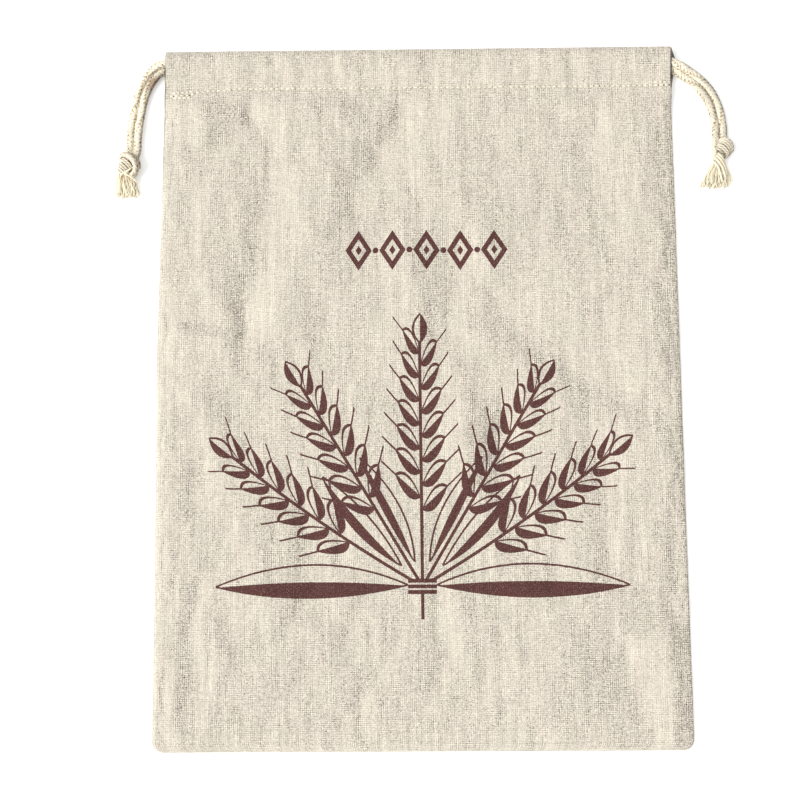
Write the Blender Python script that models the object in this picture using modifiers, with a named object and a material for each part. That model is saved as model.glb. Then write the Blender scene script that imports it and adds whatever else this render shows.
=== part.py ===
"""Drawstring bread bag of unbleached cotton, lying empty and flat on its back.

Two panels are sewn together along their sides and bottom. Each one is turned in at the mouth to make a
casing. A braided cord runs through each casing, and the two cords are knotted together at both sides.

Units are metres. +X is to the right, +Y towards the mouth and +Z up. The origin lies on the surface
that the bag rests on, under the middle of the cloth.
"""

import math

import bmesh
import bpy
import numpy as np
from mathutils import Vector

MM = 0.001
OBJECT_NAME = "bread_bag"

# Driving dimensions
BAG_LENGTH = 0.400
CLOTH = 0.0010
CLEARANCE = 0.0003
CORD_DIAMETER = 0.0042
STITCH_DEPTH = 0.0240
HEM_DEPTH = 0.0255
HEM_END_INSET = 0.0105
FRONT_CORD_DEPTH = 0.0060
BACK_CORD_DEPTH = 0.0140
CORNER_RADIUS = 0.0060

# Places along the bag
MOUTH_Y = BAG_LENGTH / 2
BOTTOM_Y = -BAG_LENGTH / 2
HEM_END_Y = MOUTH_Y - HEM_DEPTH

# Heights of the middle of each layer, from the surface up
LAYER = CLOTH + CLEARANCE
BACK_Z = CLOTH / 2
BACK_HEM_Z = BACK_Z + LAYER
FRONT_HEM_Z = BACK_HEM_Z + LAYER
FRONT_Z = FRONT_HEM_Z + LAYER
SEAM_Z = BACK_HEM_Z
CORD_REACH = CORD_DIAMETER / 2 + CLEARANCE + CLOTH / 2
BACK_CORD_Z = BACK_Z + CORD_REACH
FRONT_CORD_Z = FRONT_HEM_Z + CORD_REACH

# How the front cloth lies
BODY_Z = 0.0050
SEAM_SLOPE_WIDTH = 0.011
CASING_BLEND = 0.013
LOW_FOLD_FLOOR = 0.0003

# Cloth over a cord leaves it at this angle, and is followed in steps of about this size
FLANK_ANGLE = 60
OUTER_FLANK_ANGLE = 35
ARC_STEP = 30

# Angles on the round of the mouth's fold where its rows lie, from the outer layer to the turned-in one
FOLD_ANGLES = (54, 18, -18, -54)

# Rows of the back's outer layer in its casing, as depths below the mouth
BACK_OUTER_DEPTHS = (0.018, 0.012, 0.004)

# Spacing of the cloth's rows and columns
BODY_ROW = 0.0100
BODY_COLUMN = 0.0100
BACK_ROW = 0.0300
BACK_COLUMN = 0.0300
CORNER_ROW_SHARES = (0.0, 0.15, 0.5)
SEAM_COLUMN_SHARES = (0.0, 0.3, 0.65)

# Colours from the photograph, linear
COTTON_COLOUR = (0.72, 0.66, 0.55, 1.0)
CORD_COLOUR = (0.80, 0.72, 0.56, 1.0)
COTTON_ROUGHNESS = 0.95
CORD_ROUGHNESS = 0.9

# Side edges in millimetres: distance from the bottom, left edge, right edge
OUTLINE = (
    (0, -148.0, 147.4),
    (70, -148.3, 147.4),
    (140, -148.8, 147.4),
    (220, -149.6, 147.5),
    (300, -148.6, 147.6),
    (360, -148.0, 147.6),
    (376, -147.4, 147.5),
    (400, -147.0, 147.5),
)

# How much further the back's right edge stands out beside the casing: distance from the bottom, millimetres
BACK_EAR = (
    (366, 0.0),
    (378, 1.2),
    (388, 2.1),
    (396, 2.1),
    (400, 1.0),
)

# Folds of the front in millimetres: name, height (a trough is negative), half width, points along it
FOLDS = (
    ("ridge left of centre", 3.4, 17, ((-74, 168), (-64, 121), (-79, 74), (-90, 21))),
    ("trough beside its head", -2.6, 9, ((-103, 170), (-100, 150))),
    ("trough along its left", -3.2, 9, ((-100, 113), (-99, 83), (-105, 46))),
    ("upper left shoulder", 1.6, 12, ((-125, 165), (-124, 110), (-122, 60))),
    ("trough under the casing", -3.0, 8, ((-12, 172), (-17, 148), (-40, 121), (-46, 85))),
    ("upper middle swell", 1.5, 16, ((18, 150), (20, 110))),
    ("middle ridge", 2.6, 12, ((-22, 82), (-4, 27), (14, -25), (24, -75))),
    ("trough right of the middle", -1.6, 8, ((16, 67), (13, 35))),
    ("long slanted trough", -3.2, 9, ((43, 38), (68, 17), (101, -9), (124, -20))),
    ("upper right trough", -2.0, 10, ((92, 150), (98, 114), (107, 84))),
    ("upper right ridge", 1.8, 11, ((120, 162), (123, 126), (131, 92))),
    ("ridge under the slant", 2.3, 9, ((42, 2), (60, -30), (74, -72))),
    ("trough beside that ridge", -2.6, 8, ((36, -22), (42, -50), (55, -80))),
    ("right side swell", 1.8, 12, ((128, 40), (124, 6))),
    ("short level trough", -2.2, 6, ((-136, 39), (-117, 34), (-102, 26))),
    ("left side dent", -2.2, 9, ((-132, -51), (-123, -66))),
    ("left side swell", 1.4, 12, ((-124, -10), (-108, -38))),
    ("lower left swell", 1.6, 16, ((-96, -78), (-84, -118))),
    ("lower left crease", -2.0, 6, ((-122, -110), (-129, -140), (-128, -170))),
    ("curved ripple", -1.3, 6, ((-44, -120), (-58, -150), (-92, -172))),
    ("second curved ripple", -1.3, 6, ((-8, -122), (-18, -152), (-44, -182))),
    ("lower middle trough", -1.8, 6, ((2, -116), (8, -138))),
    ("lower right ridge", 3.0, 12, ((127, -98), (88, -131), (38, -174))),
    ("lower right trough", -3.0, 11, ((92, -152), (101, -173), (118, -190))),
    ("lower right corner ridge", 3.0, 8, ((131, -138), (134, -166), (136, -188))),
    ("right edge dent", -2.0, 6, ((140, -84), (141, -122))),
)

# Routes of the two cords from knot to knot in millimetres. Inside the casing they run straight.
FRONT_CORD_ROUTE = (
    (-167.7, 142.3, 2.10),
    (-167.6, 149.0, 2.10),
    (-167.0, 155.6, 2.10),
    (-166.2, 161.6, 2.10),
    (-165.4, 167.2, 2.10),
    (-164.4, 172.8, 2.10),
    (-162.6, 178.4, 2.30),
    (-160.0, 183.4, 3.00),
    (-156.6, 187.5, 4.40),
    (-152.2, 190.5, 5.60),
    (-147.4, 191.9, 6.00),
    (-142.4, 193.3, 6.00),
    (-137.6, 194.0, 6.00),
    (137.6, 194.0, 6.00),
    (142.4, 192.5, 6.00),
    (147.2, 190.1, 6.00),
    (152.8, 187.8, 5.40),
    (158.2, 184.9, 4.10),
    (163.4, 181.2, 3.00),
    (168.0, 176.7, 2.30),
    (171.8, 171.3, 2.10),
    (174.4, 165.0, 2.10),
    (176.1, 158.4, 2.10),
    (176.9, 152.0, 2.10),
    (177.0, 146.0, 2.10),
)
BACK_CORD_ROUTE = (
    (-163.2, 142.3, 2.10),
    (-163.1, 148.8, 2.10),
    (-162.5, 155.1, 2.10),
    (-161.7, 161.0, 2.10),
    (-160.9, 166.3, 2.10),
    (-159.9, 171.3, 2.10),
    (-158.4, 176.0, 2.10),
    (-156.6, 180.0, 2.15),
    (-154.2, 183.8, 2.50),
    (-151.4, 186.6, 3.20),
    (-147.4, 188.1, 3.40),
    (-142.6, 187.2, 3.40),
    (-137.6, 186.0, 3.40),
    (137.6, 186.0, 3.40),
    (142.4, 186.4, 3.40),
    (147.2, 186.2, 3.40),
    (151.2, 184.2, 3.20),
    (156.0, 181.3, 2.40),
    (160.5, 177.7, 2.15),
    (164.5, 173.7, 2.10),
    (167.8, 169.0, 2.10),
    (170.2, 163.5, 2.10),
    (171.7, 157.4, 2.10),
    (172.4, 151.7, 2.10),
    (172.5, 146.0, 2.10),
)
CORD_PITCH = 0.0060
CASING_CORD_PITCH = 0.0125
CORD_ROUND = 2

# A stretch of a route that is longer than this many long pitches runs straight
STRAIGHT_PITCHES = 4

# The knots. Places are in millimetres from the knot's middle, with z from the surface.
# A band is its radius and the points along it. A yarn fan is described by its root and its tips.
KNOTS = {
    "left_knot": {
        "middle": (-168.0, 131.0),
        "core_place": (0.4, 0.2, 4.5),
        "core_radii": (4.7, 6.0, 4.4),
        "bands": (
            (2.5, ((4.2, 4.6, 3.4), (1.4, 5.9, 6.0), (-2.6, 4.4, 6.9), (-3.7, 0.4, 5.6), (-2.2, -4.2, 3.4))),
            (2.3, ((-0.6, 1.6, 6.0), (2.6, 2.4, 6.9), (4.1, -0.8, 5.4), (3.2, -4.6, 3.6), (0.6, -5.6, 2.8))),
        ),
        "foot_place": (-0.5, -7.0, 2.6),
        "foot_radii": (4.4, 3.6, 2.4),
        "fan_root": (-0.5, -6.0),
        "fan_root_half": 2.6,
        "fan_tip": (-0.4, -19.4),
        "fan_tip_half": 6.8,
    },
    "right_knot": {
        "middle": (176.2, 139.2),
        "core_place": (0.3, 0.0, 4.7),
        "core_radii": (5.3, 5.3, 4.6),
        "bands": (
            (2.3, ((-3.6, 3.6, 3.6), (-0.8, 4.4, 6.6), (3.2, 2.6, 6.9), (4.0, -1.4, 5.2), (1.6, -4.4, 3.4))),
            (
                2.2,
                ((-3.6, 0.6, 5.4), (-0.6, 0.6, 7.3), (0.8, -2.8, 6.0), (-1.4, -5.6, 3.6), (-2.6, -8.2, 2.8)),
            ),
        ),
        "foot_place": (-3.2, -10.2, 2.6),
        "foot_radii": (3.7, 5.0, 2.3),
        "fan_root": (-3.2, -9.6),
        "fan_root_half": 2.0,
        "fan_tip": (-5.2, -25.6),
        "fan_tip_half": 8.0,
    },
}
LUMP_SEGMENTS = 16
LUMP_RINGS = 10
BAND_ROUND = 3
BAND_PITCH = 0.0020
STUB_LENGTH = 0.0035
STUB_REACH = 0.7
LOWER_YARNS = 8
UPPER_YARNS = 6
YARN_ROOT_RADIUS = 0.0007
YARN_TIP_RADIUS = 0.0008
LOWER_YARN_HEIGHTS = (0.0020, 0.00115, 0.0006)
UPPER_YARN_HEIGHTS = (0.0034, 0.0027, 0.0020)
UPPER_YARN_SHARE = 0.86
YARN_BOW = 0.6
OUTER_YARNS_SHORTER = 0.09
YARN_STAGGER = 0.05
YARN_STAGGER_CYCLE = 3
QUARTER_CORNER = math.radians(45)
WELD_DISTANCE = 0.000001


def soft_step(value):
    """0 below 0, 1 above 1, and an even curve between them."""
    t = np.clip(value, 0.0, 1.0)
    return t * t * (3.0 - 2.0 * t)


def clear_scene():
    """Removes every object of the scene."""
    for obj in list(bpy.data.objects):
        bpy.data.objects.remove(obj, do_unlink=True)


def new_collection(name):
    """A collection under the scene's own."""
    made = bpy.data.collections.new(name)
    bpy.context.scene.collection.children.link(made)
    return made


def cloth_material(name, colour, roughness):
    """A Principled BSDF in one colour."""
    material = bpy.data.materials.new(name)
    material.use_nodes = True
    shader = material.node_tree.nodes["Principled BSDF"]
    shader.inputs["Base Color"].default_value = colour
    shader.inputs["Roughness"].default_value = roughness
    shader.inputs["Metallic"].default_value = 0.0
    return material


def spread(start, end, pitch):
    """Even values from start to end, with steps of about the pitch. Both ends are included."""
    steps = max(1, round(abs(end - start) / pitch))
    return [start + (end - start) * step / steps for step in range(steps + 1)]


def side_edges(y):
    """Left and right edge of the cloth at this height of the bag, with its bottom corners rounded."""
    heights = [row[0] * MM for row in OUTLINE]
    height = y - BOTTOM_Y
    left = np.interp(height, heights, [row[1] * MM for row in OUTLINE])
    right = np.interp(height, heights, [row[2] * MM for row in OUTLINE])
    rise = max(0.0, CORNER_RADIUS - height)
    pulled_in = CORNER_RADIUS - math.sqrt(CORNER_RADIUS**2 - rise**2)
    return left + pulled_in, right - pulled_in


def back_ear(y):
    """How far the back's right edge stands out past the front's."""
    heights = [row[0] * MM for row in BACK_EAR]
    return np.interp(y - BOTTOM_Y, heights, [row[1] * MM for row in BACK_EAR])


def distance_to_line(x, y, points):
    """Distance from each (x, y) to a line of straight stretches."""
    nearest = np.full(np.shape(x), np.inf)
    for (ax, ay), (bx, by) in zip(points[:-1], points[1:]):
        along_x = bx - ax
        along_y = by - ay
        share = ((x - ax) * along_x + (y - ay) * along_y) / (along_x**2 + along_y**2)
        share = np.clip(share, 0.0, 1.0)
        gap = np.hypot(x - ax - share * along_x, y - ay - share * along_y)
        nearest = np.minimum(nearest, gap)
    return nearest


def front_height(x, y, left, right):
    """Middle of the front cloth below the casing: level, with folds, and let down to the seams."""
    to_side = np.minimum(x - left, right - x)
    to_bottom = y - BOTTOM_Y
    inside = soft_step(to_side / SEAM_SLOPE_WIDTH) * soft_step(to_bottom / SEAM_SLOPE_WIDTH)
    folds = np.zeros(np.shape(x))
    for _name, height, half_width, points in FOLDS:
        line = [(px * MM, py * MM) for px, py in points]
        folds += height * MM * np.exp(-((distance_to_line(x, y, line) / (half_width * MM)) ** 2))
    body = SEAM_Z + inside * np.maximum(BODY_Z - SEAM_Z + folds, LOW_FOLD_FLOOR)
    below_casing = soft_step((HEM_END_Y - y) / CASING_BLEND)
    return FRONT_Z + (body - FRONT_Z) * below_casing


def arc_over(depth, height, radius, start, end):
    """Points (depth, height) of cloth lying on a cord, from one angle to another. 0 degrees is its top."""
    return [
        (depth + radius * math.sin(math.radians(angle)), height + radius * math.cos(math.radians(angle)))
        for angle in spread(start, end, ARC_STEP)
    ]


def foot(point, level, angle, direction):
    """Where cloth that leaves this point of an arc at this angle comes down to the level."""
    depth, height = point
    return depth + direction * (height - level) / math.tan(math.radians(angle)), level


def hem_section(level, over_radius, fold_depth):
    """Section (depth, height) of a turned-in layer over the back cord, from the fold to its own end."""
    arc = arc_over(BACK_CORD_DEPTH, BACK_CORD_Z, over_radius, -FLANK_ANGLE, FLANK_ANGLE)
    return [
        (fold_depth, level),
        (FRONT_CORD_DEPTH, level),
        foot(arc[0], level, FLANK_ANGLE, -1),
        *arc,
        foot(arc[-1], level, FLANK_ANGLE, 1),
        (HEM_DEPTH, level),
    ]


def fold_section(outer_z, hem_z):
    """Section of the fold at the mouth, between the outer layer and the turned-in one."""
    radius = (outer_z - hem_z) / 2
    middle = (outer_z + hem_z) / 2
    depth = radius + CLOTH / 2
    return [
        (depth - radius * math.cos(math.radians(angle)), middle + radius * math.sin(math.radians(angle)))
        for angle in FOLD_ANGLES
    ]


def front_outer_section():
    """Section of the front's outer layer in the casing, from the stitches to the mouth's fold."""
    over_front = arc_over(FRONT_CORD_DEPTH, FRONT_CORD_Z, CORD_REACH, 0, -FLANK_ANGLE)
    over_back = arc_over(BACK_CORD_DEPTH, BACK_CORD_Z, CORD_REACH + 2 * LAYER, OUTER_FLANK_ANGLE, 0)
    return [
        (STITCH_DEPTH, FRONT_Z),
        foot(over_back[0], FRONT_Z, OUTER_FLANK_ANGLE, 1),
        *over_back,
        *over_front,
        foot(over_front[-1], FRONT_Z, FLANK_ANGLE, -1),
    ]


def hem_inset(depth):
    """How far the turned-in layer stops short of each side. Its ends are cut back on a slant."""
    return HEM_END_INSET * float(soft_step(depth / FRONT_CORD_DEPTH))


def body_rows(pitch):
    """Heights of the bag at which the cloth below the casing has a row of points."""
    corner = [BOTTOM_Y + share * CORNER_RADIUS for share in CORNER_ROW_SHARES]
    upper = [HEM_END_Y - CASING_BLEND, HEM_END_Y - CASING_BLEND / 2, HEM_END_Y]
    return corner + spread(BOTTOM_Y + CORNER_RADIUS, upper[0], pitch)[:-1] + upper


def columns(pitch):
    """Shares of the width at which the cloth has a column of points: closer beside the seams."""
    width = (OUTLINE[0][2] - OUTLINE[0][1]) * MM
    beside_seam = [share * SEAM_SLOPE_WIDTH / width for share in SEAM_COLUMN_SHARES]
    edge = SEAM_SLOPE_WIDTH / width
    middle = spread(edge, 1 - edge, pitch / width)
    return beside_seam + middle + [1 - share for share in reversed(beside_seam)]


def panel_rows(pitch, outer_section, fold, hem):
    """Rows (y, height, side inset) of a panel: up its face, over the fold and down its hem.

    A row of the face has no height of its own.
    """
    rows = [(y, None, 0.0) for y in body_rows(pitch)]
    rows += [(MOUTH_Y - depth, height, 0.0) for depth, height in outer_section]
    rows += [(MOUTH_Y - depth, height, hem_inset(depth) / 2) for depth, height in fold]
    rows += [(MOUTH_Y - depth, height, hem_inset(depth)) for depth, height in hem]
    return rows


def panel(name, rows, shares, body_height, ear, collection, material):
    """A cloth panel: a grid laid along the rows, thickened to the cloth's real thickness."""
    mesh = bpy.data.meshes.new(name)
    bm = bmesh.new()
    bmesh.ops.create_grid(bm, x_segments=len(shares) - 1, y_segments=len(rows) - 1, size=0.5)
    bm.verts.ensure_lookup_table()
    for vert in bm.verts:
        column = round((vert.co.x + 0.5) * (len(shares) - 1))
        y, height, inset = rows[round((vert.co.y + 0.5) * (len(rows) - 1))]
        left, right = side_edges(y)
        x = left + inset + (right + ear(y) - left - 2 * inset) * shares[column]
        vert.co = Vector((x, y, body_height(x, y, left, right) if height is None else height))
    bm.to_mesh(mesh)
    bm.free()
    obj = bpy.data.objects.new(name, mesh)
    collection.objects.link(obj)
    mesh.materials.append(material)
    mesh.shade_smooth()
    thickness = obj.modifiers.new("cloth thickness", "SOLIDIFY")
    thickness.thickness = CLOTH
    thickness.offset = 0.0
    thickness.use_even_offset = True
    return obj


def front_panel(collection, material):
    """The front: folds on its face, and a casing that lies over both cords."""
    outer = front_outer_section()
    fold = fold_section(FRONT_Z, FRONT_HEM_Z)
    hem = hem_section(FRONT_HEM_Z, CORD_REACH + LAYER, outer[-1][0])
    rows = panel_rows(BODY_ROW, outer, fold, hem)
    return panel("front_panel", rows, columns(BODY_COLUMN), front_height, lambda y: 0.0, collection, material)


def back_panel(collection, material):
    """The back: flat on the surface, with its own hem turned in over the back cord."""
    outer = [(depth, BACK_Z) for depth in (*BACK_OUTER_DEPTHS, LAYER / 2 + CLOTH / 2)]
    fold = list(reversed(fold_section(BACK_HEM_Z, BACK_Z)))
    hem = hem_section(BACK_HEM_Z, CORD_REACH, outer[-1][0])
    rows = panel_rows(BACK_ROW, outer, fold, hem)
    shares = columns(BACK_COLUMN)
    return panel("back_panel", rows, shares, lambda *_place: BACK_Z, back_ear, collection, material)


def smooth_route(points, pitch, long_pitch):
    """Points along a smooth curve through the given ones. Long straight stretches take the long pitch."""
    places = [Vector(point) * MM for point in points]
    ends = [2 * places[0] - places[1], *places, 2 * places[-1] - places[-2]]
    route = []
    for before, start, end, after in zip(ends[:-3], ends[1:-2], ends[2:-1], ends[3:]):
        length = (end - start).length
        straight = length > STRAIGHT_PITCHES * long_pitch
        steps = max(1, round(length / (long_pitch if straight else pitch)))
        reach_out = (end - start) if straight else (end - before) / 2
        reach_in = (end - start) if straight else (after - start) / 2
        if not straight:
            reach_out *= min(1.0, length / max(reach_out.length, MM))
            reach_in *= min(1.0, length / max(reach_in.length, MM))
        for step in range(steps):
            t = step / steps
            route.append(
                start * (2 * t**3 - 3 * t**2 + 1)
                + reach_out * (t**3 - 2 * t**2 + t)
                + end * (3 * t**2 - 2 * t**3)
                + reach_in * (t**3 - t**2)
            )
    return [*route, places[-1]]


def tube(name, points, radii, sides_step, collection, tilt=0.0):
    """A round bar along the points, with a radius for each and flat ends."""
    curve = bpy.data.curves.new(name, "CURVE")
    curve.dimensions = "3D"
    curve.twist_mode = "Z_UP"
    curve.bevel_depth = 1.0
    curve.bevel_resolution = sides_step
    curve.use_fill_caps = True
    spline = curve.splines.new("POLY")
    spline.points.add(len(points) - 1)
    for point, place, radius in zip(spline.points, points, radii):
        point.co = (*place, 1.0)
        point.radius = radius
        point.tilt = tilt
    obj = bpy.data.objects.new(name, curve)
    collection.objects.link(obj)
    return obj


def drawstring(name, route, collection, material):
    """A cord from knot to knot, round and plain."""
    points = smooth_route(route, CORD_PITCH, CASING_CORD_PITCH)
    obj = tube(name, points, [CORD_DIAMETER / 2] * len(points), CORD_ROUND, collection)
    obj.data.materials.append(material)
    return obj


def as_mesh(curve_object, collection, material):
    """The curve's evaluated surface as a mesh object with welded caps. The curve is removed."""
    graph = bpy.context.evaluated_depsgraph_get()
    mesh = bpy.data.meshes.new_from_object(curve_object.evaluated_get(graph))
    bm = bmesh.new()
    bm.from_mesh(mesh)
    bmesh.ops.remove_doubles(bm, verts=bm.verts, dist=WELD_DISTANCE)
    bm.to_mesh(mesh)
    bm.free()
    mesh.materials.clear()
    mesh.materials.append(material)
    mesh.shade_smooth()
    obj = bpy.data.objects.new(curve_object.name + "_solid", mesh)
    obj.matrix_world = curve_object.matrix_world
    collection.objects.link(obj)
    bpy.data.objects.remove(curve_object, do_unlink=True)
    obj.hide_render = True
    obj.display_type = "WIRE"
    return obj


def knot_place(knot, place):
    """A place given from the knot's middle, in the bag's frame."""
    return Vector((place[0] + knot["middle"][0], place[1] + knot["middle"][1], place[2])) * MM


def lump(name, middle, radii, collection, material):
    """A round lump of cord with a radius along each axis."""
    mesh = bpy.data.meshes.new(name)
    bm = bmesh.new()
    bmesh.ops.create_uvsphere(bm, u_segments=LUMP_SEGMENTS, v_segments=LUMP_RINGS, radius=1.0)
    bmesh.ops.scale(bm, vec=Vector(radii) * MM, verts=bm.verts)
    bmesh.ops.translate(bm, vec=middle, verts=bm.verts)
    bm.to_mesh(mesh)
    bm.free()
    mesh.materials.append(material)
    mesh.shade_smooth()
    obj = bpy.data.objects.new(name, mesh)
    collection.objects.link(obj)
    return obj


def knot_bands(name, knot, collection, material):
    """The turns of cord that wrap over the lump."""
    for index, (radius, points) in enumerate(knot["bands"]):
        route = [knot_place(knot, place / MM) for place in smooth_route(points, BAND_PITCH, BAG_LENGTH)]
        curve = tube(f"{name}_band_{index}", route, [radius * MM] * len(route), BAND_ROUND, collection)
        as_mesh(curve, collection, material)


def knot_stubs(name, knot, cord_ends, collection, material):
    """The start of each cord where it comes out of the knot, face to face with the cord's own end."""
    heart = knot_place(knot, knot["core_place"])
    for index, end in enumerate(cord_ends):
        mouth = Vector(end) * MM - Vector((0.0, CLEARANCE, 0.0))
        neck = mouth - Vector((0.0, STUB_LENGTH, 0.0))
        route = [mouth, neck, neck.lerp(heart, STUB_REACH)]
        curve = tube(f"{name}_stub_{index}", route, [CORD_DIAMETER / 2] * 3, CORD_ROUND, collection)
        as_mesh(curve, collection, material)


def yarn_fan(name, knot, count, heights, share, collection, material):
    """Frayed yarns from the knot's foot, spread over the surface and tapering to their tips."""
    root_x, root_y = knot["fan_root"]
    tip_x, tip_y = knot["fan_tip"]
    radii = (YARN_ROOT_RADIUS, (YARN_ROOT_RADIUS + YARN_TIP_RADIUS) / 2, YARN_TIP_RADIUS)
    for index in range(count):
        across = -1 + 2 * (index + 0.5) / count
        shorter = OUTER_YARNS_SHORTER * across**2 + YARN_STAGGER * (index % YARN_STAGGER_CYCLE)
        length = share * (1 - shorter)
        root = Vector((root_x + across * knot["fan_root_half"], root_y, 0.0))
        tip = Vector((root_x, root_y, 0.0)).lerp(Vector((tip_x, tip_y, 0.0)), length)
        tip.x += across * knot["fan_tip_half"] * length
        middle = root.lerp(tip, 0.5) + Vector((YARN_BOW * across, 0.0, 0.0))
        flat = (root, middle, tip)
        route = [knot_place(knot, (place.x, place.y, height / MM)) for place, height in zip(flat, heights)]
        curve = tube(f"{name}_yarn_{count}_{index}", route, radii, 0, collection, QUARTER_CORNER)
        as_mesh(curve, collection, material)


def knot(name, cord_ends, collection, material):
    """An overhand knot of both cords with its frayed yarns, joined into one solid."""
    described = KNOTS[name]
    pieces = new_collection(f"{name}_pieces")
    knot_bands(name, described, pieces, material)
    knot_stubs(name, described, cord_ends, pieces, material)
    yarn_fan(name, described, LOWER_YARNS, LOWER_YARN_HEIGHTS, 1.0, pieces, material)
    yarn_fan(name, described, UPPER_YARNS, UPPER_YARN_HEIGHTS, UPPER_YARN_SHARE, pieces, material)
    foot_middle = knot_place(described, described["foot_place"])
    lump(f"{name}_foot", foot_middle, described["foot_radii"], pieces, material)
    pieces.hide_render = True
    heart = knot_place(described, described["core_place"])
    obj = lump(name, heart, described["core_radii"], collection, material)
    join = obj.modifiers.new("pulled tight", "BOOLEAN")
    join.operation = "UNION"
    join.solver = "EXACT"
    join.operand_type = "COLLECTION"
    join.collection = pieces
    return obj


def main():
    clear_scene()
    bag = new_collection(OBJECT_NAME)
    cotton = cloth_material("unbleached_cotton", COTTON_COLOUR, COTTON_ROUGHNESS)
    cord = cloth_material("braided_cotton", CORD_COLOUR, CORD_ROUGHNESS)
    front_panel(bag, cotton)
    back_panel(bag, cotton)
    drawstring("front_drawstring", FRONT_CORD_ROUTE, bag, cord)
    drawstring("back_drawstring", BACK_CORD_ROUTE, bag, cord)
    knot("left_knot", (FRONT_CORD_ROUTE[0], BACK_CORD_ROUTE[0]), bag, cord)
    knot("right_knot", (FRONT_CORD_ROUTE[-1], BACK_CORD_ROUTE[-1]), bag, cord)


main()
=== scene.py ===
"""Drawstring bread bag of unbleached cotton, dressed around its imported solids.

The two cloths are thin sheets laid on the solids' folds, the drawstrings are braided tubes along the solids'
routes, and each knot is made of braided turns of cord with frayed yarns below it.

The frame is the bag's own: metres, +X to the right, +Y towards the mouth, +Z up from the surface that it
lies on. Tables that name millimetres are turned into metres where they are read.
"""
import logging
import math
from abc import ABC, abstractmethod
from dataclasses import dataclass, field
from enum import Enum
from typing import Any, Callable, Sequence

import bpy
import numpy as np
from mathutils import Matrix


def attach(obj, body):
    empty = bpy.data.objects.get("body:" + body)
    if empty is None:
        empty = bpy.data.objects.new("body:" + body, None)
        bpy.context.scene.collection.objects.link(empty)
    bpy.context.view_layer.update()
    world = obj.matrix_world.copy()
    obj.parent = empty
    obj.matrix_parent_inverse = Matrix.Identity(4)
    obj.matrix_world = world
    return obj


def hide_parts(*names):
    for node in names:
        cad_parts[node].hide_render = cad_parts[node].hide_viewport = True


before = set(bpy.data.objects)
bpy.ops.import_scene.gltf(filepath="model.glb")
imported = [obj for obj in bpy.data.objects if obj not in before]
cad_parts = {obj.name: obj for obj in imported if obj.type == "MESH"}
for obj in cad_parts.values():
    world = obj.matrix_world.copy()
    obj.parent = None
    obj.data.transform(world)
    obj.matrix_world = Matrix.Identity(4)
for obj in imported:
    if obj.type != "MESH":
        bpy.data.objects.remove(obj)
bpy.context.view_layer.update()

MM = 0.001
TURN = 2 * math.pi
UP = (0.0, 0.0, 1.0)
# Level direction that the light comes from
LIGHT_SIDE = (-0.95, -0.31)
# Light on a level sheet, against which the colours are given
STUDIO_LIGHT = 1.36
LOG = logging.getLogger("bread_bag")

Array = np.ndarray
Pair = tuple[float, float]
Triple = tuple[float, float, float]
Route = Sequence[Triple]
# Path of a tube and its radius
Line = tuple[Array, float]
Table = tuple[tuple[float, ...], ...]
Colour = tuple[float, float, float, float]
Cloud = tuple[float, ...]

# Row of stitches under the casing, in millimetres
STITCH_ROW = (
    (-143.6, 172.5), (-133.1, 173), (-127.2, 174.8), (-103.9, 176.4), (-10.5, 176.1), (105.8, 175.9),
    (145.3, 176.1),
)

# Routes of the two cords from knot to knot in millimetres
FRONT_CORD_ROUTE = (
    (-168.6, 134, 3.6), (-168, 138.4, 2.6), (-167.7, 142.3, 2.1), (-167.6, 149, 2.1), (-167, 155.6, 2.1),
    (-166.2, 161.6, 2.1), (-165.4, 167.2, 2.1), (-164.4, 172.8, 2.1), (-162.6, 178.4, 2.3), (-160, 183.4, 3),
    (-156.6, 187.5, 4.4), (-152.2, 190.5, 5.6), (-147.4, 191.9, 6), (-142.4, 193.3, 6), (-137.6, 194, 6),
    (137.6, 194, 6), (142.4, 192.5, 6), (147.2, 190.1, 6), (152.8, 187.8, 5.4), (158.2, 184.9, 4.1),
    (163.4, 181.2, 3), (168, 176.7, 2.3), (171.8, 171.3, 2.1), (174.4, 165, 2.1), (176.1, 158.4, 2.1),
    (176.9, 152, 2.1), (177, 146, 2.1), (176.9, 142, 2.7), (176.6, 138, 3.6),
)
BACK_CORD_ROUTE = (
    (-165.2, 134, 3.4), (-163.8, 138.4, 2.6), (-163.2, 142.3, 2.1), (-163.1, 148.8, 2.1),
    (-162.5, 155.1, 2.1), (-161.7, 161, 2.1), (-160.9, 166.3, 2.1), (-159.9, 171.3, 2.1), (-158.4, 176, 2.1),
    (-156.6, 180, 2.15), (-154.2, 183.8, 2.5), (-151.4, 186.6, 3.2), (-147.4, 188.1, 3.4),
    (-142.6, 187.2, 3.4), (-137.6, 186, 3.4), (137.6, 186, 3.4), (142.4, 186.4, 3.4), (147.2, 186.2, 3.4),
    (151.2, 184.2, 3.2), (156, 181.3, 2.4), (160.5, 177.7, 2.15), (164.5, 173.7, 2.1), (167.8, 169, 2.1),
    (170.2, 163.5, 2.1), (171.7, 157.4, 2.1), (172.4, 151.7, 2.1), (172.5, 146, 2.1), (172.9, 142, 2.7),
    (173.8, 138, 3.6),
)


def in_metres(table: Table) -> Array:
    """The columns of a table of millimetres."""
    return np.asarray(table, float).T * MM


def row_y(x: Array) -> Array:
    """Y of the row of stitches at each x."""
    return np.interp(x, *in_metres(STITCH_ROW))


def soft_step(value: Array | float) -> Array:
    """0 below 0, 1 above 1, and an even curve between them."""
    share = np.clip(value, 0.0, 1.0)
    return share * share * (3.0 - 2.0 * share)


def quarter_round(value: Array | float) -> Array:
    """Height of a quarter circle: 0 at 0, rising steeply there, and 1 from 1 on."""
    share = np.clip(value, 0.0, 1.0)
    return np.sqrt(np.maximum(0.0, 1.0 - (1.0 - share) ** 2))


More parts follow.
